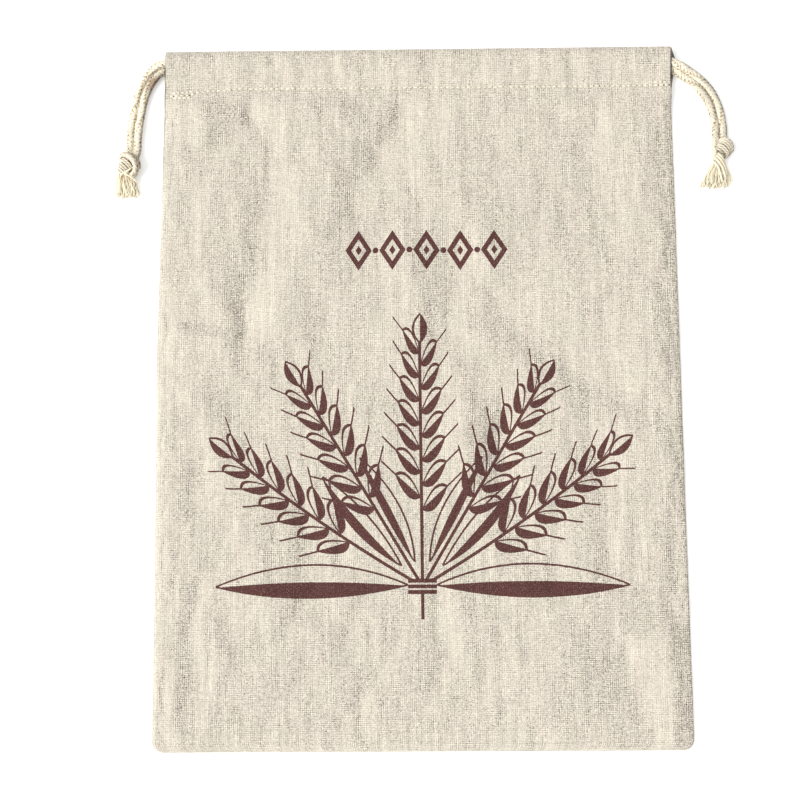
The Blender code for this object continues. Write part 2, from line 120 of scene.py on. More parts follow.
def bell(value: Array | float) -> Array:
    """A soft bump: 1 at 0, and fading on both sides."""
    return np.exp(-np.square(value))


def unit(vectors: Array) -> Array:
    """The vectors at length one, and those of no length as they are."""
    return vectors / np.maximum(np.linalg.norm(vectors, axis=-1, keepdims=True), 1e-20)


@dataclass(frozen=True)
class Fold:
    """A soft ridge in the cloth, or with a negative height a trough, in millimetres.

    Attributes:
        height: Height along its line.
        near: Half width on its left or lower side.
        far: Half width on its right or upper side.
        points: Points of its line, from the top down, or from the left where it lies level.
    """

    height: float
    near: float
    far: float
    points: Sequence[Pair]

    def rise(self, x: Array, y: Array) -> Array:
        """Height times a bell of the distance to the line over the half width of that side.

        Args:
            x: Places across, in metres.
            y: Places along, in metres.

        Returns:
            Heights in metres, in the places' shape.
        """
        line = np.asarray(self.points, float) * MM
        nearest = np.full(np.shape(x), np.inf)
        far_side = np.zeros(np.shape(x), bool)
        for (ax, ay), (bx, by) in zip(line[:-1], line[1:]):
            along_x, along_y = bx - ax, by - ay
            share = np.clip(((x - ax) * along_x + (y - ay) * along_y) / (along_x**2 + along_y**2), 0.0, 1.0)
            distance = np.hypot(x - ax - share * along_x, y - ay - share * along_y)
            far_here = along_x * (y - ay) > along_y * (x - ax)
            far_side = np.where(distance < nearest, far_here, far_side)
            nearest = np.minimum(nearest, distance)
        return self.height * MM * bell(nearest / (np.where(far_side, self.far, self.near) * MM))


def folds(*rows: tuple) -> tuple[Fold, ...]:
    """Folds from rows of their height, their half widths and the points of their line."""
    return tuple(Fold(height, near, far, points) for height, near, far, *points in rows)


# Folds of the front's body
BODY_FOLDS = folds(
    # Upper left: a broad ridge, the trough beside it, a pocket under the casing, the margin and a shoulder
    (1.8, 26, 18, (-56, 168), (-51, 140), (-53, 118), (-61, 92), (-67, 62), (-76, 32)),
    (-2.5, 8, 14, (-89, 120), (-89, 102), (-92, 80), (-96, 60), (-99, 44)),
    (-1.1, 4, 10, (-88, 170), (-87, 144)), (-1.3, 4, 8, (-99, 44), (-100, 12)),
    (-1.8, 5, 7, (-98, 176), (-97, 160)), (-1.5, 9, 7, (-100, 160), (-110, 147), (-120, 134)),
    (-1.3, 5, 8, (-131, 114), (-129, 92), (-128, 76)), (1.2, 10, 12, (-125, 165), (-124, 110), (-120, 60)),
    # Upper middle: the deep trough under the casing and its tail, a pleat, a swell and the ridge below it
    (-2.9, 7, 16, (-7, 176), (-9, 160), (-13, 149), (-21, 139)),
    (-1.7, 8, 10, (-27, 136), (-35, 126), (-37, 106)), (0.9, 4, 4, (-45, 178), (-43, 157)),
    (1.2, 16, 16, (18, 150), (20, 110)), (-0.9, 3.5, 6, (9, 186), (10, 160), (12, 128)),
    (1.6, 14, 10, (-6, 84), (-3, 60), (-2, 30)), (-1.6, 8, 10, (20, 72), (18, 52), (15, 34)),
    # Upper right: troughs, a ridge and the swell at the side
    (-1.3, 11, 12, (99, 146), (103, 120), (109, 100), (113, 84)), (-0.9, 3, 4, (103, 176), (105, 148)),
    (0.8, 12, 14, (121, 164), (124, 126), (130, 92)), (1.5, 14, 12, (130, 44), (127, 6)),
    # Middle: a short level trough, and the long slanted one with its ridge
    (-1.4, 4, 6, (-141, 41), (-121, 37), (-101, 33)),
    (-1.8, 9, 17, (48, 44), (60, 32), (74, 20), (90, 8), (104, -2), (120, -10), (138, -17)),
    (1.1, 14, 9, (36, 27), (52, 15), (66, 3), (84, -9)),
    # Below the middle: dents and swells from the left side to the right one
    (-2.2, 8, 9, (-126, -46), (-126, -64)), (1.3, 12, 12, (-124, -8), (-108, -38)),
    (1.9, 12, 8, (22, 10), (25, -15), (28, -45)), (-1.9, 8, 9, (46, -16), (48, -38), (44, -54)),
    (-1.8, 8, 8, (97, -32), (101, -52)), (-1.1, 6, 7, (8, -78), (9, -110)), (-1, 4, 5, (73, -96), (71, -114)),
    (-1.5, 6, 9, (103, -58), (104, -100)), (-1.5, 7, 7, (-64, -68), (-62, -90)),
    (-1.7, 6, 6, (-44, -76), (-46, -94)),
    # Lower left: a swell and the creases beside the edge
    (1.4, 16, 16, (-92, -78), (-84, -118)),
    (-1.5, 3.6, 5, (-122, -106), (-128, -134), (-126, -150), (-127, -166), (-131, -182)),
    (-1.1, 3.6, 5, (-119, -156), (-123, -178), (-127, -196)), (-0.9, 3, 4, (-142, -158), (-143, -194)),
    (-1.1, 4, 5, (-107, -126), (-106, -142)),
    # Lower middle: curved ripples and dents
    (-0.8, 4, 5, (-30, -112), (-44, -142), (-70, -165), (-98, -180)),
    (-0.8, 4, 5, (-8, -122), (-18, -152), (-44, -182)), (-0.7, 4, 5, (-60, -112), (-74, -135), (-100, -152)),
    (-0.8, 5, 6, (41, -136), (36, -152), (28, -172)), (-0.7, 4, 5, (14, -148), (4, -172), (-10, -192)),
    (-1.2, 6, 6, (10, -116), (11, -140)), (-1, 4, 4, (-34, -176), (-33, -190)),
    # Lower right: a ridge and a trough, and the creases beside the edge
    (1.7, 24, 15, (86, -130), (79, -150), (75, -170), (75, -194)),
    (-1.6, 14, 12, (110, -146), (118, -168), (122, -190)), (1.3, 9, 6, (110, -139), (124, -141), (135, -142)),
    (1.5, 8, 6, (136, -138), (138, -166), (139, -190)), (-1.6, 6, 6, (141, -84), (140, -126)),
    # Puckers at the bottom seam
    (-0.6, 2.5, 3, (-44, -186), (-45, -200)), (-0.6, 2.5, 3, (-29, -187), (-30, -200)),
    (-0.7, 2.5, 3, (109, -186), (110, -200)),
)

# Gathers of the front's casing, with y counted along the cloth
CASING_FOLDS = folds(
    (-0.6, 3, 4, (-130, 190), (-130, 177)), (-0.35, 3, 3, (-117, 197), (-113, 182)),
    (-0.65, 3, 3, (-101, 200), (-97, 192), (-92, 184)), (-0.45, 2.5, 3, (-84, 197), (-79, 180)),
    (-0.35, 2.5, 3, (-71, 194), (-66, 178)), (-0.55, 3, 3, (-50, 191), (-46, 177)),
    (0.4, 3, 3, (-40, 191), (-40, 178)), (-0.7, 4, 4, (-32, 194), (-30, 180)),
    (-0.45, 2.5, 3, (-16, 199), (-12, 184)), (-0.55, 3, 3.5, (4, 198), (9, 179)),
    (-0.35, 2.5, 3, (15, 188), (18, 178)), (-0.7, 3, 3, (37, 200), (35, 182)),
    (-0.35, 3, 3, (63, 197), (66, 181)), (-0.4, 3, 3, (88, 196), (92, 179)),
    (-0.45, 3, 4, (104, 191), (105, 177)), (-0.4, 3, 3, (122, 197), (125, 182)),
    (-0.6, 7, 5, (140, 203), (143, 190)),
)


def smooth_route(points: Route, step: float) -> Array:
    """Evenly spaced points on a smooth curve through the given ones.

    Each stretch is a cubic whose slope at a point is half the difference of its neighbours, and no longer
    than the stretch itself. A stretch over 50 mm is straight.

    Args:
        points: The route in millimetres.
        step: Spacing of the result in metres.

    Returns:
        Points in metres, one row each.
    """
    long_stretch, points_each = 0.050, 40
    places = np.asarray(points, float) * MM
    ends = np.vstack([2 * places[0] - places[1], places, 2 * places[-1] - places[-2]])
    chord = places[1:] - places[:-1]
    length = np.linalg.norm(chord, axis=1, keepdims=True)
    slopes = []
    for slope in ((ends[2:-1] - ends[:-3]) / 2, (ends[3:] - ends[1:-2]) / 2):
        reach = np.linalg.norm(slope, axis=1, keepdims=True)
        held = slope * np.minimum(1.0, length / np.maximum(reach, MM))
        slopes.append(np.where(length > long_stretch, chord, held)[:, None, :])
    t = np.linspace(0.0, 1.0, points_each, endpoint=False)[None, :, None]
    curve = (
        places[:-1, None, :] * (2 * t**3 - 3 * t**2 + 1)
        + slopes[0] * (t**3 - 2 * t**2 + t)
        + places[1:, None, :] * (3 * t**2 - 2 * t**3)
        + slopes[1] * (t**3 - t**2)
    ).reshape(-1, places.shape[1])
    curve = np.vstack([curve, places[-1]])
    return evenly(curve, max(2, round(run_along(curve)[-1] / step) + 1))


def evenly(path: Array, count: int) -> Array:
    """The same line with this many evenly spaced points."""
    run = run_along(path)
    places = np.linspace(0.0, run[-1], count)
    return np.stack([np.interp(places, run, column) for column in path.T], axis=1)


def run_along(path: Array) -> Array:
    """Distance travelled along a path at each of its points."""
    steps = np.linalg.norm(np.diff(path, axis=-2), axis=-1)
    start = np.zeros(steps.shape[:-1] + (1,))
    return np.concatenate([start, np.cumsum(steps, axis=-1)], axis=-1)


def lean(points: Array, towards: Pair) -> Array:
    """How far a grid of points leans towards a level direction: the level part of its normal along it."""
    normal = unit(np.cross(np.gradient(points, axis=1), np.gradient(points, axis=0)))
    return normal[..., 0] * towards[0] + normal[..., 1] * towards[1]


def stretches(parts: Table) -> Array:
    """Values that run through several stretches, each given as its start, end and step."""
    pieces = []
    for start, end, step in parts:
        pieces.append(np.linspace(start, end, max(2, round((end - start) / step) + 1))[:-1])
    return np.concatenate([*pieces, [parts[-1][1]]])


def grid_faces(rows: int, columns: int, closed: bool) -> Array:
    """Corner numbers of the faces between neighbouring rows and columns of a grid.

    Args:
        rows: Rows of points.
        columns: Points in a row.
        closed: Whether the last column is joined to the first.

    Returns:
        Four corners for each face, anticlockwise where columns run right and rows run up.
    """
    across = columns if closed else columns - 1
    row, column = np.meshgrid(np.arange(rows - 1), np.arange(across), indexing="ij")
    here = row * columns + column
    beside = row * columns + (column + 1) % columns
    return np.stack([here, beside, beside + columns, here + columns], axis=-1).reshape(-1, 4)


def add_mesh(
    name: str,
    points: Array,
    faces: Sequence[Array],
    corner_uv: Array,
    material: bpy.types.Material,
    values: dict[str, Array] | None = None,
) -> bpy.types.Object:
    """Makes a smooth mesh object of points and faces, at the origin.

    Args:
        name: Name of the object.
        points: Its points in metres.
        faces: Arrays of corner numbers, one array for each number of corners.
        corner_uv: Place of each face corner on the piece's own UV map, in metres.
        material: Its finish.
        values: Named numbers kept with each point.

    Returns:
        The new object, linked to the scene.
    """
    mesh = bpy.data.meshes.new(name)
    mesh.from_pydata(points.tolist(), [], [corners for part in faces for corners in part.tolist()])
    layer = mesh.uv_layers.new(name="cloth")
    layer.data.foreach_set("uv", np.ascontiguousarray(corner_uv, np.float32).ravel())
    for label, numbers in (values or {}).items():
        kept = mesh.attributes.new(label, "FLOAT", "POINT")
        kept.data.foreach_set("value", np.ascontiguousarray(numbers, np.float32).ravel())
    mesh.shade_smooth()
    mesh.materials.append(material)
    obj = bpy.data.objects.new(name, mesh)
    bpy.context.scene.collection.objects.link(obj)
    return obj


def joined(operation: str, flipped: bool = False) -> Callable[..., "Signal"]:
    """A method of Signal that joins it and other operands in a node of this operation.

    Args:
        operation: The node's operation.
        flipped: Whether the other operand comes first, as in the reflected form of an operator.

    Returns:
        The method.
    """

    def method(self: "Signal", *others: Any) -> "Signal":
        """The operation's result."""
        return self.join(operation, (*others, self) if flipped else (self, *others))

    return method


class Signal:
    """An output socket that takes part in Python arithmetic by adding the nodes for it."""

    def __init__(self, bench: "NodeBench", socket: bpy.types.NodeSocket) -> None:
        """Wraps a socket of the bench's material."""
        self.bench = bench
        self.socket = socket

    def join(self, operation: str, operands: tuple) -> "Signal":
        """A Math node on values, or a Vector Math node where a colour or vector takes part."""
        wide = any(
            isinstance(each, tuple) or (isinstance(each, Signal) and each.socket.type in {"VECTOR", "RGBA"})
            for each in operands
        )
        kind = "ShaderNodeVectorMath" if wide else "ShaderNodeMath"
        feeds = dict(enumerate(operands))
        if wide:
            for spot, each in feeds.items():
                feeds[spot] = (each,) * 3 if isinstance(each, (int, float)) else each
        return self.bench.node(kind, {"operation": operation}, feeds)

    __add__ = __radd__ = joined("ADD")
    __mul__ = __rmul__ = joined("MULTIPLY")
    __sub__, __rsub__ = joined("SUBTRACT"), joined("SUBTRACT", flipped=True)
    __truediv__, __rtruediv__ = joined("DIVIDE"), joined("DIVIDE", flipped=True)
    __gt__, __lt__ = joined("GREATER_THAN"), joined("LESS_THAN")
    __abs__ = joined("ABSOLUTE")
    most, least = joined("MAXIMUM"), joined("MINIMUM")
    floor, sine, cosine = joined("FLOOR"), joined("SINE"), joined("COSINE")

    def rise(self, low: float, high: float) -> "Signal":
        """0 below the low value, 1 above the high one, and an even curve between them."""
        feeds = {"Value": self, "From Min": low, "From Max": high}
        return self.bench.node("ShaderNodeMapRange", {"interpolation_type": "SMOOTHSTEP"}, feeds)

    def parts(self) -> tuple["Signal", "Signal", "Signal"]:
        """The three numbers of a vector."""
        node = self.bench.add("ShaderNodeSeparateXYZ", {}, {0: self})
        return tuple(Signal(self.bench, socket) for socket in node.outputs)


class NodeBench:
    """The nodes of one material."""

    def __init__(self, name: str) -> None:
        """Starts a material with a Principled shader."""
        self.material = bpy.data.materials.new(name)
        self.material.use_nodes = True
        self.tree = self.material.node_tree
        self.shader = self.tree.nodes["Principled BSDF"]

    def add(self, kind: str, settings: dict[str, Any], feeds: dict[Any, Any]) -> bpy.types.Node:
        """Adds a node of any kind.

        Args:
            kind: The node's type.
            settings: Its own settings, which are set before its sockets.
            feeds: A value or a Signal for each input, by name or number.

        Returns:
            The node.
        """
        node = self.tree.nodes.new(kind)
        for label, value in settings.items():
            setattr(node, label, value)
        for spot, value in feeds.items():
            self.feed(node.inputs[spot], value)
        return node

    def node(self, kind: str, settings: dict[str, Any], feeds: dict[Any, Any], output: Any = 0) -> Signal:
        """Adds a node and gives one of its outputs as a Signal."""
        return Signal(self, self.add(kind, settings, feeds).outputs[output])

    def feed(self, socket: bpy.types.NodeSocket, value: Any) -> None:
        """Links a Signal to an input, or sets the input's own value."""
        if isinstance(value, Signal):
            self.tree.links.new(value.socket, socket)
        else:
            socket.default_value = value

    def place(self) -> tuple[Signal, Signal]:
        """Place on the piece's own UV map in millimetres: across, along."""
        spot = self.node("ShaderNodeUVMap", {"uv_map": "cloth"}, {}) * 1000.0
        across, along, _height = spot.parts()
        return across, along

    def kept(self, label: str) -> Signal:
        """The number that the mesh keeps under this name."""
        return self.node("ShaderNodeAttribute", {"attribute_name": label}, {}, "Fac")

    def vector(self, x: Any, y: Any, z: Any = 0.0) -> Signal:
        """A vector of three numbers."""
        return self.node("ShaderNodeCombineXYZ", {}, {0: x, 1: y, 2: z})

    def noise(self, spot: Signal, detail: float = 2.0, roughness: float = 0.5) -> Signal:
        """Smooth noise around 0.5 with features about one unit wide."""
        feeds = {"Vector": spot, "Scale": 1.0, "Detail": detail, "Roughness": roughness}
        return self.node("ShaderNodeTexNoise", {}, feeds, "Fac")

    def cloud(self, spot: "Spot", sizes: Cloud, detail: float = 2.0, roughness: float = 0.5) -> Signal:
        """Smooth noise around 0.5 with features of this width and length, at a height of its own."""
        width, length, *height = sizes
        return self.noise(self.vector(spot[0] / width, spot[1] / length, *height), detail, roughness)

    def chance(self, spot: Signal) -> Signal:
        """An unrelated number from 0 to 1 for each vector."""
        return self.node("ShaderNodeTexWhiteNoise", {"noise_dimensions": "3D"}, {"Vector": spot}, "Value")

    def mix(self, share: Any, first: Any, second: Any) -> Signal:
        """The first colour where the share is 0, and the second where it is 1."""
        return self.node("ShaderNodeMix", {"data_type": "RGBA"}, {0: share, 6: first, 7: second}, 2)

    def bump(self, height: Signal, strength: float) -> Signal:
        """A normal bent by a height in millimetres."""
        return self.node("ShaderNodeBump", {}, {"Height": height, "Strength": strength, "Distance": MM})

    def dress(self, feeds: dict[str, Any]) -> bpy.types.Material:
        """Feeds the shader's inputs and gives the material."""
        for label, value in feeds.items():
            self.feed(self.shader.inputs[label], value)
        return self.material


Spot = tuple[Signal, Signal]


def shade(red: int, green: int, blue: int) -> Colour:
    """A colour as a screen shows it, from 0 to 255, as linear reflectance under the studio's light."""
    seen = np.array([red, green, blue]) / 255.0
    linear = np.where(seen > 0.04045, ((seen + 0.055) / 1.055) ** 2.4, seen / 12.92) / STUDIO_LIGHT
    return (*np.clip(linear, 0.0, 1.0).tolist(), 1.0)


def leaned(across: Signal, up: Signal, degrees: float, bend: float) -> tuple[Signal, Signal]:
    """Place along a line that leans to the right and bends with its square, and how far off it."""
    sine, cosine = math.sin(math.radians(degrees)), math.cos(math.radians(degrees))
    along = across * sine + up * cosine
    return along, across * cosine - up * sine - along * along * bend


@dataclass(frozen=True)
class WheatEar:
    """A printed ear of wheat with its stalk, in millimetres from the point where the stalks are tied.

    Attributes:
        lean: Degrees from upright, to the right.
        bend: Sideways curve of the stalk for each square millimetre of its length.
        stalk: Length of the bare stalk above the tie.
        tail: Length of the stalk below the tie.
        grains: Number of grains on each side.
        pitch: Spacing of the grains.
        skew: How far a grain rises for each millimetre outwards.
        grain_middle: Distance of a grain's middle from the stalk.
        grain_half: Half length and half width of a grain.
        solid_from: How far above its own line a grain is still solid.
        crown_middle: How far above the ear the middle of its topmost grain is.
        crown_half: Half width and half length of that grain.
        taper: How much narrower the ear is at its top, as a share.
        outline: Inked share of a grain from its edge inwards.
        awn: Length of the bristle beyond each grain.
        awn_half: Half width of a bristle.
        stalk_half: Half width of the stalk.
    """

    lean: float
    bend: float
    stalk: float
    tail: float
    grains: int
    pitch: float = 13.6
    skew: float = 0.90
    grain_middle: float = 7.6
    grain_half: Pair = (7.4, 6.1)
    solid_from: float = 0.4
    crown_middle: float = 7.0
    crown_half: Pair = (4.4, 9.0)
    taper: float = 0.34
    outline: float = 0.30
    awn: float = 8.0
    awn_half: float = 0.65
    stalk_half: float = 0.90

    def mask(self, across: Signal, up: Signal) -> Signal:
        """Where the ear is inked.

        A grain is a pointed oval: its offset from the grain's own line over its half width, plus the square
        of its offset along that line over its half length, is under 1. The lower half of each grain is solid.

        Args:
            across: Millimetres to the right of the tie.
            up: Millimetres above the tie.

        Returns:
            1 on ink, else 0.
        """
        along, off = leaned(across, up, self.lean, self.bend)
        ear, inner = self.grains * self.pitch, 1.0 - self.outline
        side, from_stalk = abs(off), along - self.stalk
        narrowing = (from_stalk / ear).most(0.0).least(1.0)
        reach = side / (1.0 - narrowing * narrowing * self.taper)
        cell = (from_stalk - reach * self.skew) / self.pitch + (off > 0.0) * 0.5
        index = cell.floor()
        row = (cell - index - 0.5) * self.pitch
        on_ear = (index > -0.5) * (index < self.grains - 0.5)
        half_length, half_width = self.grain_half
        from_middle = (reach - self.grain_middle) / half_length
        oval = abs(row) / half_width + from_middle * from_middle
        grain = (oval < 1.0) * (oval > inner).most(row < self.solid_from)
        tip = self.grain_middle + half_length
        whisker = (abs(row) < self.awn_half) * (reach > tip - self.awn / 10) * (reach < tip + self.awn)
        top = abs(from_stalk - ear - self.crown_middle) / self.crown_half[1]
        crown = top * top + side / self.crown_half[0]
        crown = (crown < 1.0) * (crown > inner).most(off > self.solid_from / 2)
        stem = (side < self.stalk_half) * (along > -self.tail) * (along < self.stalk + ear)
        return (on_ear * grain.most(whisker)).most(crown).most(stem)


@dataclass(frozen=True)
class PrintedLeaf:
    """A printed long leaf, in millimetres from the tie. One half of it is solid."""

    lean: float
    bend: float
    start: float
    length: float
    half_width: float
    line_half: float = 0.55

    def mask(self, across: Signal, up: Signal) -> Signal:
        """Where the leaf is inked: its edge, where the width is a parabola along it, and its lower half."""
        along, off = leaned(across, up, self.lean, self.bend)
        share = ((along - self.start) / self.length).most(0.0).least(1.0)
        width = share * (1.0 - share) * (4.0 * self.half_width)
        within = (share > 0.0) * (share < 1.0)
        edge = abs(abs(off) - width) < self.line_half
        solid = (off > 0.5) * (off < width)
        return within * edge.most(solid)


@dataclass(frozen=True)
class SheafPrint:
    """The generic printed ornament: a tied sheaf of wheat, and a row of lozenges above it, in millimetres."""

    tie: Pair = (1.0, -111.0)
    tie_half: Pair = (8.0, 4.2)
    tie_gaps: Pair = (1.5, 0.45)
    ears: tuple[WheatEar, ...] = (
        WheatEar(lean=0.0, bend=0.0, stalk=42.0, tail=18.0, grains=7),
        WheatEar(lean=31.0, bend=0.0, stalk=50.0, tail=17.0, grains=6),
        WheatEar(lean=60.0, bend=-0.0006, stalk=47.0, tail=15.0, grains=6),
    )
    leaves: tuple[PrintedLeaf, ...] = (
        PrintedLeaf(lean=84.0, bend=0.0009, start=8.0, length=106.0, half_width=9.0),
        PrintedLeaf(lean=15.0, bend=0.0024, start=14.0, length=64.0, half_width=4.6),
        PrintedLeaf(lean=46.0, bend=-0.0008, start=16.0, length=66.0, half_width=5.2),
    )
    row_middle: Pair = (5.0, 79.0)
    lozenges: int = 5
    lozenge_pitch: float = 19.4
    lozenge_half: Pair = (7.6, 11.6)
    # Shares of a lozenge: inside of its ring, and its heart
    ring_inside: float = 0.56
    heart: float = 0.24
    dot_radius: float = 1.7
    wander: float = 0.5
    wander_size: float = 0.9

    def mask(self, bench: NodeBench, across: Signal, along: Signal) -> Signal:
        """Where the front is inked, with the slightly uneven edge of ink on woven cloth."""
        spot = bench.vector(across / self.wander_size, along / self.wander_size)
        across = across + (bench.noise(spot) - 0.5) * self.wander
        along = along + (bench.noise(spot + 31.0) - 0.5) * self.wander
        from_tie = across - self.tie[0]
        beside, above = abs(from_tie), along - self.tie[1]
        ink = self.ears[0].mask(from_tie, above)
        for part in (*self.ears[1:], *self.leaves):
            ink = ink.most(part.mask(beside, above))
        band = (beside < self.tie_half[0]) * (abs(above) < self.tie_half[1])
        gap = (abs(abs(above) - self.tie_gaps[0]) < self.tie_gaps[1]) * band
        return (ink.most(band) * (1.0 - gap)).most(self.lozenge_row(across, along))

    def lozenge_row(self, across: Signal, along: Signal) -> Signal:
        """Where the row above the sheaf is inked: outlined lozenges with a dot between each two."""
        from_middle, above = across - self.row_middle[0], abs(along - self.row_middle[1])
        cell = from_middle / self.lozenge_pitch + self.lozenges / 2
        index = cell.floor()
        beside = abs(cell - index - 0.5) * self.lozenge_pitch
        in_row = (index > -0.5) * (index < self.lozenges - 0.5)
        size = beside / self.lozenge_half[0] + above / self.lozenge_half[1]
        ring = (size < 1.0) * (size > self.ring_inside)
        from_edge = self.lozenge_pitch / 2 - beside
        dot = (from_edge * from_edge + above * above) < self.dot_radius**2
        between = (abs(from_middle) < self.lozenge_pitch * (self.lozenges / 2 - 0.5)) * dot
        return (in_row * ring.most(size < self.heart)).most(between)


class ClothFace(Enum):
    """Which of the two cloths a finish is for."""

    PRINTED = "printed_cotton"
    BARE = "bare_cotton"


@dataclass(frozen=True)
class UnbleachedCotton:
    """Plain woven unbleached cotton with uneven yarns, seed flecks and a soft ink print.

    Sizes are in millimetres. A cloud is smooth noise, given by the width and length of its features and,
    where it has one, its own height in the noise.
    """

    tone: Colour = shade(228, 219, 203)
    warm: Colour = shade(231, 218, 204)
    cool: Colour = shade(224, 220, 200)
    fleck: Colour = shade(120, 98, 72)
    ink: Colour = shade(92, 50, 47)
    stain_cloud: Cloud = (19.0, 26.0)
    stain_share: float = 0.30
    # Noise at which stains, streaks, upright lines and level lines set in and are full
    stain_range: Pair = (0.25, 0.75)
    streak_range: Pair = (0.50, 0.70)
    upright_range: Pair = (0.38, 0.70)
    level_range: Pair = (0.38, 0.68)
    # Yarns: spacing, how far they wander, how far they rise and sink, and how each changes along itself
    warp_pitch: float = 0.57
    weft_pitch: float = 0.50
    wander: float = 1.2
    warp_wander: Cloud = (7.0, 30.0)
    weft_wander: Cloud = (30.0, 7.0)
    lift: float = 0.32
    yarn_length: float = 26.0
    yarn_apart: float = 3.7
    # How much more the yarn on top counts, and the upright yarn's share where it is below
    on_top: float = 0.35
    upright_share: float = 0.40
    # Strength of each kind of unevenness
    lightness: float = 1.020
    grain: float = 0.56
    specks: float = 0.34
    speck_share: float = 0.05
    fluff: float = 0.14
    fluff_cloud: Cloud = (0.5, 0.5)
    # Painted light and shade of the weave: lighter on the yarns' tops and darker in the gaps between them
    gaps: float = 0.60
    checker: float = 0.16
    slub: float = 0.60
    line_contrast: float = 0.34
    upright_lines: Cloud = (2.6, 10.0, 11.0)
    level_lines: Cloud = (9.0, 3.6, 13.0)
    streaks: float = 0.30
    narrow_streaks: Cloud = (1.9, 34.0, 41.0)
    broad_streaks: Cloud = (5.0, 60.0, 43.0)
    slanted_streaks: Cloud = (3.2, 24.0, 23.0)
    slant_depth: float = 0.10
    # How fast the slant grows outwards, the scale across, and the steepest slant
    slant_growth: float = 0.006
    slant: Pair = (0.85, 0.5)
    streak_cloud: Cloud = (4.0, 30.0, 7.0)
    streak_depth: float = 0.06
    streak_grain: float = 0.30
    # Grain deepened as painted shade where the cloth leans from the light: share on level cloth, more for
    # each unit of lean, and the least and most of that
    level_grain: float = 0.88
    lean_grain: float = -1.9
    lean_limits: Pair = (-0.30, 0.8)
    # Heights for the bump, and its strength
    relief: float = 0.12
    yarn_relief: float = 0.22
    fluff_relief: float = 0.10
    bump: float = 0.55
    # Holes of the stitches, painted as shade: first x, spacing, darkness, edge, and draws up to which one is
    # closed and open
    holes_from: float = -143.6
    hole_pitch: float = 3.1
    hole_depth: float = 0.72
    hole_edge: Pair = (0.12, 0.50)
    hole_chance: Pair = (0.40, 0.90)
    # How open the holes are in the row, how much more so at its ends, and the x's between which that sets in
    hole_opening: Pair = (0.3, 0.7)
    back_tack_x: Pair = (122.0, 134.0)
    # Net of the flecks: width and length of its cells, share of them without one, least and added radius
    fleck_net: Pair = (11.0, 15.0)
    no_fleck: float = 0.60
    fleck_radius: Pair = (0.014, 0.022)
    fleck_edge: Pair = (0.75, 1.25)
    fleck_depth: float = 0.75
    # How far ink is worn off, how the yarns' height and grain add to that, and where it sets in and is full
    worn: float = 0.30
    worn_by: Pair = (0.35, 0.2)
    worn_range: Pair = (0.80, 1.0)
    ink_light: float = 0.28
    design: SheafPrint = field(default_factory=SheafPrint)

    def material(self, face: ClothFace) -> bpy.types.Material:
        """The cloth's material, printed or bare."""
        bench = NodeBench(face.value)
        spot = across, along = bench.place()
        warp = (across + (bench.cloud(spot, self.warp_wander) - 0.5) * self.wander) / self.warp_pitch
        weft = (along + (bench.cloud(spot, self.weft_wander) - 0.5) * self.wander) / self.weft_pitch
        numbers = warp.floor(), weft.floor()
        height, warp_on_top = self.weave(warp, weft, numbers)
        yarn = self.yarn_tone(bench, spot, numbers, warp_on_top)
        fluff = bench.cloud(spot, self.fluff_cloud, detail=3.0, roughness=0.7)
        streak = bench.cloud(spot, self.streak_cloud).rise(*self.streak_range)
        grain = (bench.chance(bench.vector(*numbers, 0.6)) - 0.5) * self.grain
        speck = bench.chance(bench.vector(*numbers[::-1], 0.3)) > 1.0 - self.speck_share
        grain = grain - speck * self.specks
        # Fluff, and painted light and shade of the weave's tops and gaps
        grain = grain + (fluff - 0.5) * self.fluff + (height - (1.0 - self.lift)) * self.gaps
        grain = grain + self.line_tone(bench, spot, warp, weft)
        light = self.lightness + grain * self.grain_shade_and_streaks(bench, streak) + (yarn - 0.5) * self.slub
        light = light + self.drawn_streaks(bench, spot) - streak * self.streak_depth
        stain = bench.cloud(spot, self.stain_cloud, detail=1.0).rise(*self.stain_range)
        colour = bench.mix(stain, self.cool, self.warm)
        colour = bench.mix(self.stain_share, self.tone, colour) * light
        colour = bench.mix(self.flecks(bench, spot), colour, self.fleck)
        # Painted shade of the front's edges and mouth, and of the back's ear
        colour = colour * (1.0 - bench.kept("shade"))
        if face is ClothFace.PRINTED:
            # Painted shade in the needle holes
            colour = colour * (1.0 - self.needle_hole_shade(bench))
            ink = self.design.mask(bench, across, along)
            worn = fluff + height * self.worn_by[0] + grain * self.worn_by[1]
            worn = worn.rise(*self.worn_range)
            inked = (1.0 - self.ink_light + light * self.ink_light) * self.ink[:3]
            colour = bench.mix(ink * (1.0 - worn * self.worn), colour, inked)
        lumps = height * self.relief + (yarn - 0.5) * self.yarn_relief + (fluff - 0.5) * self.fluff_relief
        return bench.dress(
            {
                "Base Color": colour,
                "Roughness": 0.92,
                "Specular IOR Level": 0.22,
                "Sheen Weight": 0.12,
                "Normal": bench.bump(lumps, self.bump),
            }
        )

    def grain_shade_and_streaks(self, bench: NodeBench, streak: Signal) -> Signal:
        """How strongly the grain shows, around 1: deeper as painted shade on cloth that leans from the light,
        and in streaks.
        """
        least, most = self.lean_limits
        away = (bench.kept("lean") * self.lean_grain).most(least).least(most)
        return away + self.level_grain + streak * self.streak_grain

    def drawn_streaks(self, bench: NodeBench, spot: Spot) -> Signal:
        """Soft upright streaks of two widths, and faint slanted ones.

        The slanted ones fall to the right at the upper right, and rise to it at the lower left.
        """
        across, along = spot
        narrow = bench.cloud(spot, self.narrow_streaks, detail=1.0)
        broad = bench.cloud(spot, self.broad_streaks, detail=1.0)
        tilt = ((across + along) * self.slant_growth).most(-1.0).least(1.0)
        slanted = across * self.slant[0] + along * tilt * self.slant[1]
        slanted = bench.cloud((slanted, along), self.slanted_streaks, detail=1.0)
        return (narrow + broad - 1.0) * self.streaks + (slanted - 0.5) * self.slant_depth

